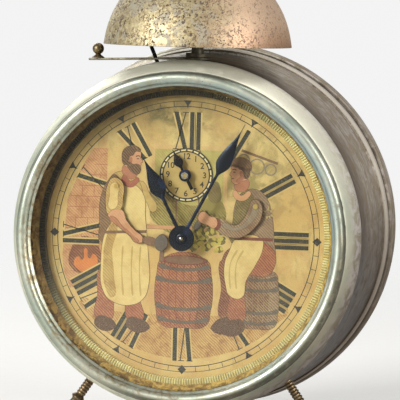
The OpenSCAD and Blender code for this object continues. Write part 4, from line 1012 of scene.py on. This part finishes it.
def makeSubDial():
    at, top = subDial["at"], subDial["layer"]
    inkRing(1.55, subDial["edge"], "black", top, at, 96)
    inkRing(1.55, subDial["ringIn"], "gold", top + 1, at, 96)
    (low, high), half = subDial["dash"], subDial["dashHalf"]
    ends = ((low, -half), (low, half), (high, half), (high, -half))
    for dash in range(24):
        angle = dash * 15 + 7.5
        corners = [turned([(0, r)], angle + side, at)[0] for r, side in ends]
        ink(corners, "white", top + 1, line=0, smooth=False)
    for hour in range(1, 13):
        text = bpy.data.curves.new("digit", "FONT")
        text.body = str(hour)
        text.size = subDial["digitHeight"] * 1.35 * mm
        text.align_x, text.align_y = "CENTER", "CENTER"
        text.offset = 0.05 * mm
        holder = bpy.data.objects.new("digit", text)
        mesh = bpy.data.meshes.new_from_object(holder)
        bpy.data.objects.remove(holder)
        spot = turned([(0, subDial["digits"])], hour * 30, at)[0]
        matrix = upright(-layerHeight * (top + 2)) @ Matrix.Translation(Vector((spot[0], spot[1], 0)) * mm)
        tone(gather(dialInk, mesh, matrix), "black")


makeTrack()
makeNumerals()
makeSubDial()
print("dial ring, numerals and alarm dial made")


# The printed scene: a cooper's yard, one man driving a hoop onto a cask, the other sitting on a small cask

headParts = {
    "face": [(-2.9, -2.2), (-3.5, 0.6), (-2.9, 3.1), (-0.7, 4.4), (1.5, 4.1), (2.8, 2.9), (3.05, 1.7),
             (2.9, 0.75), (3.7, -0.75), (3.05, -1.1), (3.2, -1.75), (2.9, -2.1), (3.05, -2.7), (2.6, -3.6),
             (1.4, -4.1), (0.2, -3.7), (-1.0, -2.9)],
    "neck": [(-2.6, -1.5), (-3.0, -6.0), (1.4, -6.2), (1.3, -3.0)],
    "cheek": [(-1.2, -0.6), (0.2, -1.6), (1.4, -3.2), (0.4, -3.7), (-1.0, -2.9), (-1.8, -1.6)],
    "ear": [(-1.0, 0.5), (-0.3, 0.7), (-0.1, -0.1), (-0.6, -1.0), (-1.1, -0.6)],
    "eye": [(1.55, 0.35), (2.0, 0.55), (2.45, 0.4), (2.0, 0.2)],
    "brow": [(1.2, 1.25), (2.0, 1.6), (2.75, 1.35), (2.7, 1.15), (2.0, 1.3), (1.25, 1.05)],
    "mouth": [(2.1, -2.0), (2.6, -1.95), (3.0, -2.05), (2.6, -2.25)],
    "hair": [(-3.1, -1.8), (-3.9, 0.6), (-3.3, 3.5), (-0.9, 5.0), (1.7, 4.7), (2.9, 3.1), (1.2, 3.0),
             (0.2, 1.6), (-0.9, 1.2), (-1.5, -0.3), (-2.0, -1.9)],
    "beard": [(-1.3, -0.9), (0.3, -1.7), (1.6, -1.5), (2.7, -2.0), (3.1, -2.9), (2.9, -4.4), (1.7, -5.3),
              (0.1, -4.7), (-1.3, -3.3), (-1.9, -2.0)],
    "cap": [(-4.1, 1.2), (-4.4, 3.4), (-2.6, 5.4), (0.8, 5.9), (3.4, 4.4), (4.6, 2.9), (4.2, 2.4),
            (2.6, 2.7), (0, 2.1), (-2.4, 1.1)],
    "capBand": [(-4.0, 1.1), (-2.4, 1.0), (0, 2.0), (2.7, 2.6), (2.7, 3.1), (0, 2.7), (-2.6, 1.9),
                (-4.1, 1.9)],
}


def makeHead(at, own, mirror=False, grow=1.0):
    side = -1 if mirror else 1
    rows = [("neck", "skinDeep", 5.5, 0.1), ("face", "skin", 7, 0.13), ("cheek", "skinDeep", 8, 0), *own,
            ("ear", "skinDeep", 10, 0.06)]
    rows += [(part, "line", 10, 0) for part in ("eye", "brow", "mouth")]
    for part, *look in rows:
        ink([(at[0] + side * (x * grow), at[1] + z * grow) for x, z in headParts[part]], *look)


def makeBackground():
    # Brick chimney and hearth on the left
    ink([(-45.0, -8), (-43.5, 12), (-38.5, 24), (-34, 31), (-29, 31), (-29, -12), (-30, -20), (-42, -20),
         (-44.5, -14)],
        "brickPale", 0.3, 0.1, False, 0.6)
    for row in range(12):
        z = 29 - row * 3.9
        left = -math.sqrt(max(44.5 ** 2 - z * z, 0)) if z < 12 else -29.5 - (31 - z) * 0.75
        ink(bar((left + 0.4, z), (-29, z), 0.2), "brick", 0.6, 0, False)
        for k in range(3):
            x = -31.5 - k * 4.4 - (row % 2) * 2.2
            if x > left + 1:
                ink(bar((x, z), (x, z - 3.9), 0.18), "brick", 0.6, 0, False)
    ink([(-41.5, -13), (-41.5, -5), (-38.5, -1.5), (-34.5, -1.5), (-31.5, -5), (-31.5, -13)], "brickDeep",
        0.7, 0.15, True, 0.7)
    ink([(-40, -12.6), (-39.4, -8.6), (-37.6, -9.8), (-36.4, -5.4), (-35, -9.2), (-33.4, -7.4),
         (-32.8, -12.6)],
        "ember", 0.75, 0, True, 0.3)
    # Window with a green view, under the alarm dial
    ink([(-13, 3.4), (-13, 33), (15, 33), (15, 3.4)], "plaster", 0.3, 0.18, False, 0.2)
    ink([(-11.6, 5), (-11.6, 31.4), (13.6, 31.4), (13.6, 5)], "greenPale", 0.45, 0.14, False, 0.3)
    ink([(-11.6, 5), (-11.6, 13.5), (-7, 15.5), (-2, 12.5), (4, 11.5), (9, 14.5), (13.6, 12.5), (13.6, 5)],
        "green", 0.6, 0, True, 0.8)
    for x in (-11.0, -7.6, 10.6):
        ink([(x - 1.6, 13), (x - 2.2, 17), (x, 20.5), (x + 2.2, 17), (x + 1.6, 13)], "olive", 0.7, 0, True,
            0.6)
    for x in (-3.4, 4.8):
        ink(bar((x, 5), (x, 31.4), 0.55), "brown", 0.75, 0.06, False)
    ink(bar((-14, 3.2), (16, 3.2), 1.3), "brickPale", 0.8, 0.12, False)
    # Ivy that hangs over the sill beside the hub, leaf by leaf
    for k in range(96):
        x, size, shade = 2.8 + 11.4 * (k * 0.618 % 1), 0.6 + 0.5 * (k * 0.732 % 1), k % 4
        z = -4.6 + 15.5 * (k * 0.414 % 1) * (1 - abs(x - 9) / 13)
        leaf = turned([(0, -1.3), (0.8, -0.2), (0.5, 0.9), (0, 1.2), (-0.5, 0.9), (-0.8, -0.2)], k * 77)
        ink([(x + size * px, z + size * pz) for px, pz in leaf], ("moss", "green", "olive", "lime")[shade],
            0.85 + 0.05 * shade, 0, True, 0.3)
    # Ground
    ink([(-38, -24), (-30, -27), (-10, -28.5), (12, -28), (30, -26.5), (38, -24), (33, -31), (24, -38),
         (12, -42.5), (-2, -44), (-16, -41.5), (-27, -36.5), (-34, -30)], "earth", 0.2, 0, True, 0.9)
    # Hoops on the wall at the upper right
    ink(bar((18, 32.5), (33, 27.5), 0.7), "brown", 0.7, 0.08, False)
    for x, r in ((20.8, 2.3), (25.6, 2.9), (30.6, 2.2)):
        middle = (x, 31.6 - (x - 18) * 0.33 - r)
        mesh = flat(ringPoints(middle, r), holes=(ringPoints(middle, r - 0.55),))
        tone(gather(dialInk, mesh, upright(-layerHeight * 0.8)), "ironPale", 0.2)


def makeCask(middle, size, colour, shade, layer):
    # Side view of a standing cask: staves, lit left side, iron hoops and the head seen from a little above
    x, z = middle
    wide, tall = size
    side = [(0.80, 1.0), (0.94, 0.55), (1.0, 0.0), (0.94, -0.55), (0.80, -1.0)]
    right = [(x + wide * w, z + tall * h) for w, h in side]
    left = [(x - wide * w, z + tall * h) for w, h in side[::-1]]
    ink(right + [(x, z - tall * 1.1)] + left, colour, layer, 0.15, True, 0.8)
    inner = [(x + wide * w * 0.5, z + tall * h) for w, h in side[::-1]]
    ink(right + [(x + wide * 0.45, z - tall * 1.08)] + inner, shade, layer + 0.4, 0, True, 0.8)
    for k in range(-3, 4):
        stave = [(x + wide * w * k * 0.27, z + tall * h * (1.02 if h < 0 else 1)) for w, h in side]
        seam = [(px + 0.1, pz) for px, pz in stave] + [(px - 0.1, pz) for px, pz in stave[::-1]]
        ink(seam, shade, layer + 0.6, 0)
    for h in (0.82, 0.42, -0.42, -0.82):
        reach = wide * (1 - 0.2 * h * h)
        curve = [(x + reach * s, z + tall * h - (1 - s * s) * wide * 0.13) for s in (-1, -0.6, 0, 0.6, 1)]
        band = [(px, pz + 0.5) for px, pz in curve] + [(px, pz - 0.5) for px, pz in curve[::-1]]
        ink(band, "iron", layer + 1, 0.07, True, 0.2)
    for share, tint in ((0.82, "line"), (0.77, shade), (0.66, "brown")):
        ink([(x + wide * share * c, z + tall + wide * share * 0.2 * d) for c, d in ringPoints((0, 0), 1, 16)],
            tint, layer + 2.1 - share, 0)


def makeCooper():
    ink([(-30.4, -12), (-31.6, -22), (-31.8, -31), (-27, -31.6), (-25.4, -24), (-23.4, -17), (-21.6, -24),
         (-19.8, -31.2), (-15.2, -31.2), (-16.2, -22), (-15.4, -12)], "brick", 2, 0.14, True, 0.6)
    ink([(-31.6, -30.2), (-32.2, -33.4), (-24.8, -33.8), (-24.9, -32.3), (-27, -30.6)], "hair", 3, 0.12)
    ink([(-20, -30.2), (-20.5, -33.4), (-12.4, -33.8), (-12.6, -32.3), (-15.4, -30.6)], "hair", 3, 0.12)
    ink([(-19, 16), (-14.2, 12), (-12.2, 8.6), (-10.6, 9.8), (-13, 14.6), (-17, 19.6)], "creamDeep", 3, 0.13)
    ink([(-28.4, 19.6), (-31.2, 13), (-31.4, 4), (-30.4, -4), (-15.6, -4), (-15.0, 6), (-15.6, 14.5),
         (-18, 20.4), (-21.5, 22.6), (-25.5, 22.4)], "creamDeep", 4, 0.15, True, 0.3)
    ink([(-28.4, 19.6), (-31.2, 13), (-31.4, 4), (-30.6, -3), (-27.4, -3), (-27.6, 6), (-25.6, 14),
         (-25.6, 21.5)], "brown", 5, 0.1, True, 0.5)
    ink([(-20.8, 18.6), (-16.0, 15.6), (-14.6, 6), (-13.4, -6), (-12.8, -17), (-14.8, -23), (-19.5, -25.4),
         (-25, -24.8), (-29.0, -21.8), (-30.6, -10), (-29.4, 0), (-26.4, 5.5), (-24.6, 13), (-24.0, 18)],
        "cream", 6, 0.15, True, 0.15)
    ink([(-28.6, -20), (-29.8, -10), (-28.8, -1), (-26.2, 4), (-26.6, -6), (-25.6, -16), (-26.0, -23)],
        "creamDeep", 7, 0, True, 0.6)
    for x in (-22.5, -19.0, -16.0):
        ink([(x, -4), (x - 0.2, -13), (x + 0.5, -22), (x + 0.15, -22), (x - 0.55, -13), (x - 0.3, -4)],
            "creamDeep", 7, 0)
    ink(bar((-29.6, 0.6), (-14.2, 1.4), 0.9), "brown", 8, 0.06, False)
    makeHead((-19.8, 27.2), [("beard", "hair", 9, 0.08, True, 0.4), ("hair", "hair", 9, 0.1, True, 0.4)])
    ink([(-22.8, 21.5), (-20.4, 19.4), (-17.4, 20.6), (-18.4, 18.2), (-20.6, 17.2), (-23.4, 19.2)], "brick",
        8.5, 0.1)


def makeHelper():
    makeCask((27.2, -21.5), (7.6, 9.6), "brown", "greyBrown", 1.8)
    for x, z, colour, level in ((-3.4, 0.6, "brickDeep", 3.9), (0, 0, "brick", 4.5)):
        ink([(31 + x, -2 + z), (21 + x, -3.6 + z), (18.0 + x, -6.2 + z), (17.8 + x, -11.2 + z),
             (24 + x, -12.6 + z), (31.4 + x, -12 + z)],
            colour, level, 0.14, True, 0.7)
        ink([(18.0 + x, -7.6 + z), (17.2 + x, -19 + z), (17.6 + x, -30 + z), (21.4 + x, -30 + z),
             (22.2 + x, -19 + z), (22.8 + x, -10.5 + z)],
            colour, level + 0.2, 0.12, True, 0.7)
        ink([(17.4 + x, -29.4 + z), (14.6 + x, -31.6 + z), (13.8 + x, -33.4 + z), (21.8 + x, -33.4 + z),
             (21.7 + x, -29.4 + z)],
            "hair", level + 0.4, 0.12)
    ink([(29.4, 15), (31.6, 8), (32.4, 0), (32.2, -7), (21.0, -7), (18.4, 0), (17.6, 9), (19.4, 15.4),
         (22.5, 17.8), (26.5, 17.6)],
        "greyBrown", 4, 0.15, True, 0.5)
    ink([(20.6, 16.8), (17.8, 8), (17.4, -2), (22.6, -2), (23.6, 8), (23.4, 17.2)], "olive", 5, 0.1, True,
        0.6)
    ink([(18.8, 0), (16.4, -4.4), (14.8, -9), (15.4, -17), (17.0, -20.6), (21.2, -21), (22.6, -15),
         (26.0, -9), (28.4, -3), (28.0, 0.2)],
        "cream", 6, 0.15, True, 0.2)
    for x in (17.4, 19.6):
        ink([(x + 2, -4), (x - 0.4, -9), (x - 0.2, -18), (x - 0.5, -18), (x - 0.75, -9), (x + 1.6, -4)],
            "creamDeep", 7, 0)
    ink(bar((18.4, 0.2), (32.0, 0.2), 1.0), "brickDeep", 8, 0.06, False)
    makeHead((19.4, 23.6), [("hair", "hair", 9, 0.08, True, 0.4), ("cap", "brown", 10, 0.12, True, 0.5),
                            ("capBand", "hair", 11, 0)], True, 0.95)
    ink([(17.6, 17.4), (20.2, 15.6), (23.4, 17.2), (22.4, 14.6), (19.6, 13.8), (17.4, 15.4)], "brickPale",
        8.5, 0.1)


makeBackground()
makeCask((0, -20), (10.6, 11.6), "brick", "brickDeep", 2)
ink(bar((-8.2, -5.2), (-8.4, -9.2), 1.5), "brown", 5, 0.1, False)
makeCooper()
makeHelper()
place(dialInk, "dial_print", "ink", "case", (), 0)
print("printed scene made")


# Tin arms: stamped sheet with their own print

armSheet = {"front": -1.6, "thick": 0.4, "round": 0.14}
armShapes = {
    "left": {
        "body": "left_arm_body", "node": "left_arm",
        "outline": [(-28.2, 19.0), (-29.2, 14.5), (-29.0, 9.5), (-27.8, 6.2), (-24.0, 2.6), (-19.6, -0.8),
                    (-18.6, -2.2), (-16.4, -2.9), (-14.4, -2.0), (-10.0, -2.9), (-9.7, -4.9), (-6.9, -4.7),
                    (-6.6, 0.2), (-9.2, 0.4), (-9.6, -1.7), (-14.8, -0.8), (-15.6, 0.4), (-17.2, 1.4),
                    (-21.0, 5.4), (-23.0, 9.0), (-22.4, 13.5), (-22.4, 18.0), (-24.6, 20.6), (-27.0, 20.6)],
        "prints": [
            ("creamDeep", [(-28.0, 18.8), (-29.0, 14.5), (-28.8, 9.5), (-28.0, 7.4), (-23.4, 9.4),
                           (-22.7, 13.5), (-22.6, 17.8), (-24.7, 20.3), (-26.9, 20.3)], 0.6),
            ("cream", [(-26.6, 18.6), (-27.6, 14), (-27.4, 9.4), (-25.4, 9.6), (-24.6, 14), (-24.8, 18.4)],
             0.2),
            ("skin", [(-28.0, 7.2), (-27.6, 6.2), (-24.0, 2.8), (-19.4, -0.6), (-18.4, -2.0), (-16.4, -2.7),
                      (-15.0, -1.6), (-15.8, 0.2), (-17.3, 1.2), (-21.2, 5.2), (-23.2, 9.0)], 0.2),
            ("skinDeep", [(-27.4, 6.3), (-24.0, 3.0), (-19.4, -0.4), (-18.2, -1.8), (-16.6, -2.4),
                          (-18.6, -0.2), (-22.6, 3.2), (-26.2, 6.6)], 0.3),
            ("brown", [(-15.2, -1.9), (-9.6, -2.9), (-9.5, -1.8), (-15.0, -0.9)], 0),
            ("iron", [(-9.9, -4.7), (-7.0, -4.6), (-6.8, 0.0), (-9.3, 0.2)], 0),
        ],
    },
    "right": {
        "body": "right_arm_body", "node": "right_arm",
        "outline": [(28.0, 12.6), (28.2, 8.6), (26.0, 4.6), (21.6, 0.9), (18.0, 0.2), (12.4, 2.8),
                    (8.4, 4.6), (6.2, 5.2), (4.7, 2.6), (3.7, 2.9), (4.7, 6.4), (5.0, 8.3), (6.8, 9.9),
                    (7.4, 9.2), (9.2, 8.2), (13.4, 6.9), (18.4, 5.2), (21.2, 7.4), (23.2, 11.6),
                    (24.2, 14.2), (26.4, 14.6)],
        "prints": [
            ("greyBrown", [(27.8, 12.4), (27.9, 8.8), (25.8, 4.8), (21.4, 1.2), (18.0, 0.5), (11.6, 3.4),
                           (12.2, 7.0), (18.4, 4.9), (21.4, 7.2), (23.4, 11.4), (24.3, 13.9), (26.3, 14.3)],
             0.7),
            ("ironPale", [(26.6, 11.8), (26.2, 8.8), (24.0, 5.8), (21.0, 3.6), (18.2, 3.0), (14, 4.8),
                          (14.2, 5.6), (18.4, 4.2), (21.8, 6.0), (24.2, 10.0), (25.2, 12.8)], 0.3),
            ("brickDeep", [(12.2, 3.1), (11.2, 3.6), (11.8, 7.1), (12.8, 6.8)], 0),
            ("skin", [(11.0, 3.7), (8.4, 4.8), (6.3, 5.4), (5.1, 6.6), (5.2, 8.1), (6.8, 9.5), (9.2, 8.0),
                      (11.6, 7.1)], 0.2),
            ("iron", [(6.1, 5.1), (4.7, 2.8), (3.9, 3.0), (4.9, 6.0)], 0),
        ],
    },
}


def makeArm(name, arm):
    bm = bmesh.new()
    bm.loops.layers.float_color.new("ink")
    middle = armSheet["front"] + armSheet["thick"] / 2
    sheet = gather(bm, flat(arm["outline"], grow=-armSheet["round"], smooth=True, thick=armSheet["thick"],
                            rounded=armSheet["round"]), upright(middle))
    paint(sheet, "line", bm.loops.layers.float_color["ink"])
    for step, (colour, points, hatch) in enumerate(arm["prints"]):
        ink(points, colour, step + 1, 0.08 if step else 0, True, hatch, bm, armSheet["front"])
    place(bm, name + "_arm_print", "ink", arm["body"], [arm["node"]], 35)


for name, arm in armShapes.items():
    makeArm(name, arm)
print("tin arms made")


# Torn paper round the hole on the right, and the metal round the alarm arbor

def makeTear():
    middle = (30, 9.6)
    rnd = random.Random(5)
    bm = bmesh.new()
    marks = bm.loops.layers.float_color.new("ink")
    for k in range(7):
        angle = k * 51 + rnd.uniform(-12, 12)
        long = rnd.uniform(1.0, 1.9)
        a, b, tip = turned([(-0.5, 0.95), (0.5, 0.95), (rnd.uniform(-0.3, 0.3), 0.95 + long)], angle, middle)
        corners = [fromHub(a[0], -0.03, a[1]), fromHub(b[0], -0.03, b[1]),
                   fromHub(tip[0], -rnd.uniform(0.3, 0.7), tip[1])]
        paint([bm.faces.new([bm.verts.new(c) for c in corners])], "white", marks)
    bmesh.ops.solidify(bm, geom=bm.faces[:], thickness=0.06 * mm)
    bmesh.ops.recalc_face_normals(bm, faces=bm.faces)
    place(bm, "torn_paper", "ink", "case", (), 0)


def makeAlarmTube():
    middle = fromHub(0, 0, subDial["at"][1])
    tube = [(0.62, -2.2), (0.62, -3.35), (0.75, -3.5), (1.15, -3.5), (1.3, -3.35), (1.3, -2.2)]
    bm = lathe(tube, middle, steps=48)
    place(bm, "alarm_tube", "pin", "alarm_set_body", (), 30)
    collar = [(1.32, -2.7), (2.1, -2.7), (2.2, -2.62), (2.2, -2.3), (1.32, -2.3)]
    bm = lathe(collar, middle, steps=48)
    place(bm, "alarm_collar", "blued", "alarm_set_body", (), 30)


makeTear()
makeAlarmTube()
print("torn paper and alarm tube made")


# Back: winding keys, knurled knobs and the pressed rings, arrows and scale of the cover

backSize = {"cover": 64.9, "rings": (24, 50), "ringWidth": 1.6, "ringHeight": 0.55, "keyStart": 69.9,
            "hub": 9, "square": 2.1, "hubRadius": 3.9, "wingAt": 6, "wingThick": 2, "wing": 5.6,
            "wingOff": 9.4, "hole": 1.9, "knobStart": 69.3, "knob": 5.5, "knobLength": 3.5, "boss": 3.9,
            "ribs": 36, "markThick": 0.2, "markDepth": 0.08}
arrow = {"r": 10, "half": 0.6, "barb": 1.6, "starts": (35, 215), "sweep": 90, "tip": 16}
scaleMarks = {"at": (-11.18, -43.85), "middle": 135, "step": 9, "inner": 13.2, "short": 15, "long": 16,
              "width": 0.4}
windingKeys = {"time_key": (30.81, -6.55, "time_winding_body"),
               "alarm_key": (-30.81, -6.55, "alarm_winding_body")}


def makeKey(node, x, z, body):
    b = backSize
    bm = bmesh.new()
    start, end = b["keyStart"], b["keyStart"] + b["hub"]
    hubProfile = [(b["square"], start), (b["hubRadius"] - 0.3, start), (b["hubRadius"], start + 0.3),
                  (b["hubRadius"], start + 1.6), (b["hubRadius"] - 0.6, start + 2.2),
                  (b["hubRadius"] - 0.6, end - 1.6), (b["hubRadius"] - 1.1, end - 0.4),
                  (b["square"] + 0.5, end), (b["square"], end)]
    spin(bm, hubProfile, fromHub(x, 0, z), (0, 1, 0), 48)
    w, off = b["wing"], b["wingOff"]
    lobe = [polar((off, w), w, a) for a in range(-80, 150, 23)]
    mirrored = [(-px, py) for px, py in lobe[::-1]]
    outline = lobe + [(2.6, 4.6), (0, 3.6), (-2.6, 4.6)] + mirrored + [(-2.8, 0.3), (2.8, 0.3)]
    holes = [ringPoints((side * off, w), b["hole"], 12) for side in (-1, 1)]
    wings = flat(outline, grow=-0.6, thick=b["wingThick"], rounded=0.6, holes=holes)
    gather(bm, wings, Matrix.Translation(fromHub(x, start + b["wingAt"], z)))
    place(bm, node + "_wings", "keys", body, [node], 35)


def makeKnob(node, x, z, body, bore):
    b = backSize
    start = b["knobStart"]
    profile = [(bore, start - 1), (b["boss"], start - 1), (b["boss"], start), (b["knob"] - 0.4, start),
               (b["knob"], start + 0.4), (b["knob"], start + b["knobLength"] - 0.5),
               (b["knob"] - 0.5, start + b["knobLength"]), (b["boss"], start + b["knobLength"] + 0.1),
               (b["boss"], start + 4.7), (b["boss"] - 0.3, start + 5), (bore, start + 5)]
    middle = fromHub(x, 0, z)
    bm = lathe(profile, middle, steps=b["ribs"] * 4)
    grooves = []
    for vert in bm.verts:
        offset = vert.co - middle
        step = round(math.atan2(offset.z, offset.x) / turn * b["ribs"] * 4)
        if step % 4 == 0 and math.hypot(offset.x, offset.z) > (b["boss"] + 0.2) * mm:
            grooves.append(vert)
    bmesh.ops.scale(bm, verts=grooves, vec=(0.93, 1, 0.93), space=Matrix.Translation(-middle))
    place(bm, node + "_knurled", "keys", body, [node], 25)


def makeCoverTrim():
    b = backSize
    bm = bmesh.new()
    for r in b["rings"]:
        half = b["ringWidth"] / 2
        profile = [(r + half * math.cos(a), b["cover"] - 0.05 + b["ringHeight"] * math.sin(a))
                   for a in (math.pi * i / 8 for i in range(9))]
        spin(bm, profile, hub, (0, 1, 0), 160)
    place(bm, "cover_rings", "nickel", "case", (), 30)
    bm = bmesh.new()
    marks = []
    for x, z, body in windingKeys.values():
        for begin in arrow["starts"]:
            r, end = arrow["r"], begin + arrow["sweep"]
            outside = [polar((x, z), r + arrow["half"], a) for a in range(begin, end + 1, 10)]
            inside = [polar((x, z), r - arrow["half"], a) for a in range(end, begin - 1, -10)]
            corners = ((r - arrow["barb"], end), (r + arrow["barb"], end), (r, end + arrow["tip"]))
            marks += [outside + inside, [polar((x, z), *corner) for corner in corners]]
    m = scaleMarks
    for tick in range(-3, 4):
        ends = [polar(m["at"], r, m["middle"] + tick * m["step"])
                for r in (m["inner"], m["short"] if tick % 3 else m["long"])]
        marks.append(bar(*ends, m["width"]))
    for mark in marks:
        gather(bm, flat(mark, smooth=False, thick=b["markThick"]), upright(b["cover"] + b["markDepth"]))
    place(bm, "cover_marks", "black", "case", (), 30)


for node, (x, z, body) in windingKeys.items():
    makeKey(node, x, z, body)
makeKnob("hand_knob", 0, 0, "minute_body", 0.9)
makeKnob("alarm_knob", 0, subDial["at"][1], "alarm_set_body", 1.2)
makeCoverTrim()
print("keys, knobs and back cover trimmed")


# Finishes of the pieces that keep their construction shape

kept = {
    "nickel": ["back_cover"],
    "glass": ["glass"],
    "paper": ["dial_plate"],
    "strip": ["bell_post", "cover_screws", "regulator"],
    "black": ["hammer", "hammer_head"],
    "steel": ["plate_nuts", "time_arbor", "time_spring", "time_ratchet", "alarm_main_arbor", "alarm_spring",
              "alarm_ratchet", "clicks", "cannon_pinion", "pallet_lever", "hairspring", "balance_screws",
              "left_link", "right_link"],
}
done = {name for names in kept.values() for name in names}
kept["movement"] = [name for name in nodes if name not in done]
for finish, names in kept.items():
    for name in names:
        mesh = nodes[name].data
        mesh.materials.clear()
        mesh.materials.append(finishes[finish])
print("construction pieces finished")


# Floor and background light

def makeFloorPiece():
    bm = bmesh.new()
    bmesh.ops.create_circle(bm, cap_ends=True, segments=64, radius=studio["floorRadius"])
    mesh = asMesh(bm, "floor")
    mesh.materials.append(finishes["floor"])
    floor = bpy.data.objects.new("floor", mesh)
    bpy.context.scene.collection.objects.link(floor)


def makeWorld():
    world = bpy.data.worlds.new("studio")
    bpy.context.scene.world = world
    world.use_nodes = True
    tree = world.node_tree
    tree.nodes.clear()
    rays = tree.nodes.new("ShaderNodeLightPath")
    soft, pale = (tree.nodes.new("ShaderNodeBackground") for i in range(2))
    soft.inputs["Color"].default_value = (1, 1, 1, 1)
    soft.inputs["Strength"].default_value = studio["soft"]
    pale.inputs["Color"].default_value = studio["backdrop"]
    mixed = tree.nodes.new("ShaderNodeMixShader")
    out = tree.nodes.new("ShaderNodeOutputWorld")
    tree.links.new(rays.outputs["Is Camera Ray"], mixed.inputs[0])
    tree.links.new(soft.outputs[0], mixed.inputs[1])
    tree.links.new(pale.outputs[0], mixed.inputs[2])
    tree.links.new(mixed.outputs[0], out.inputs["Surface"])


makeFloorPiece()
makeWorld()
bpy.context.scene.view_settings.view_transform = "Standard"
bpy.context.view_layer.update()
print("scene complete")
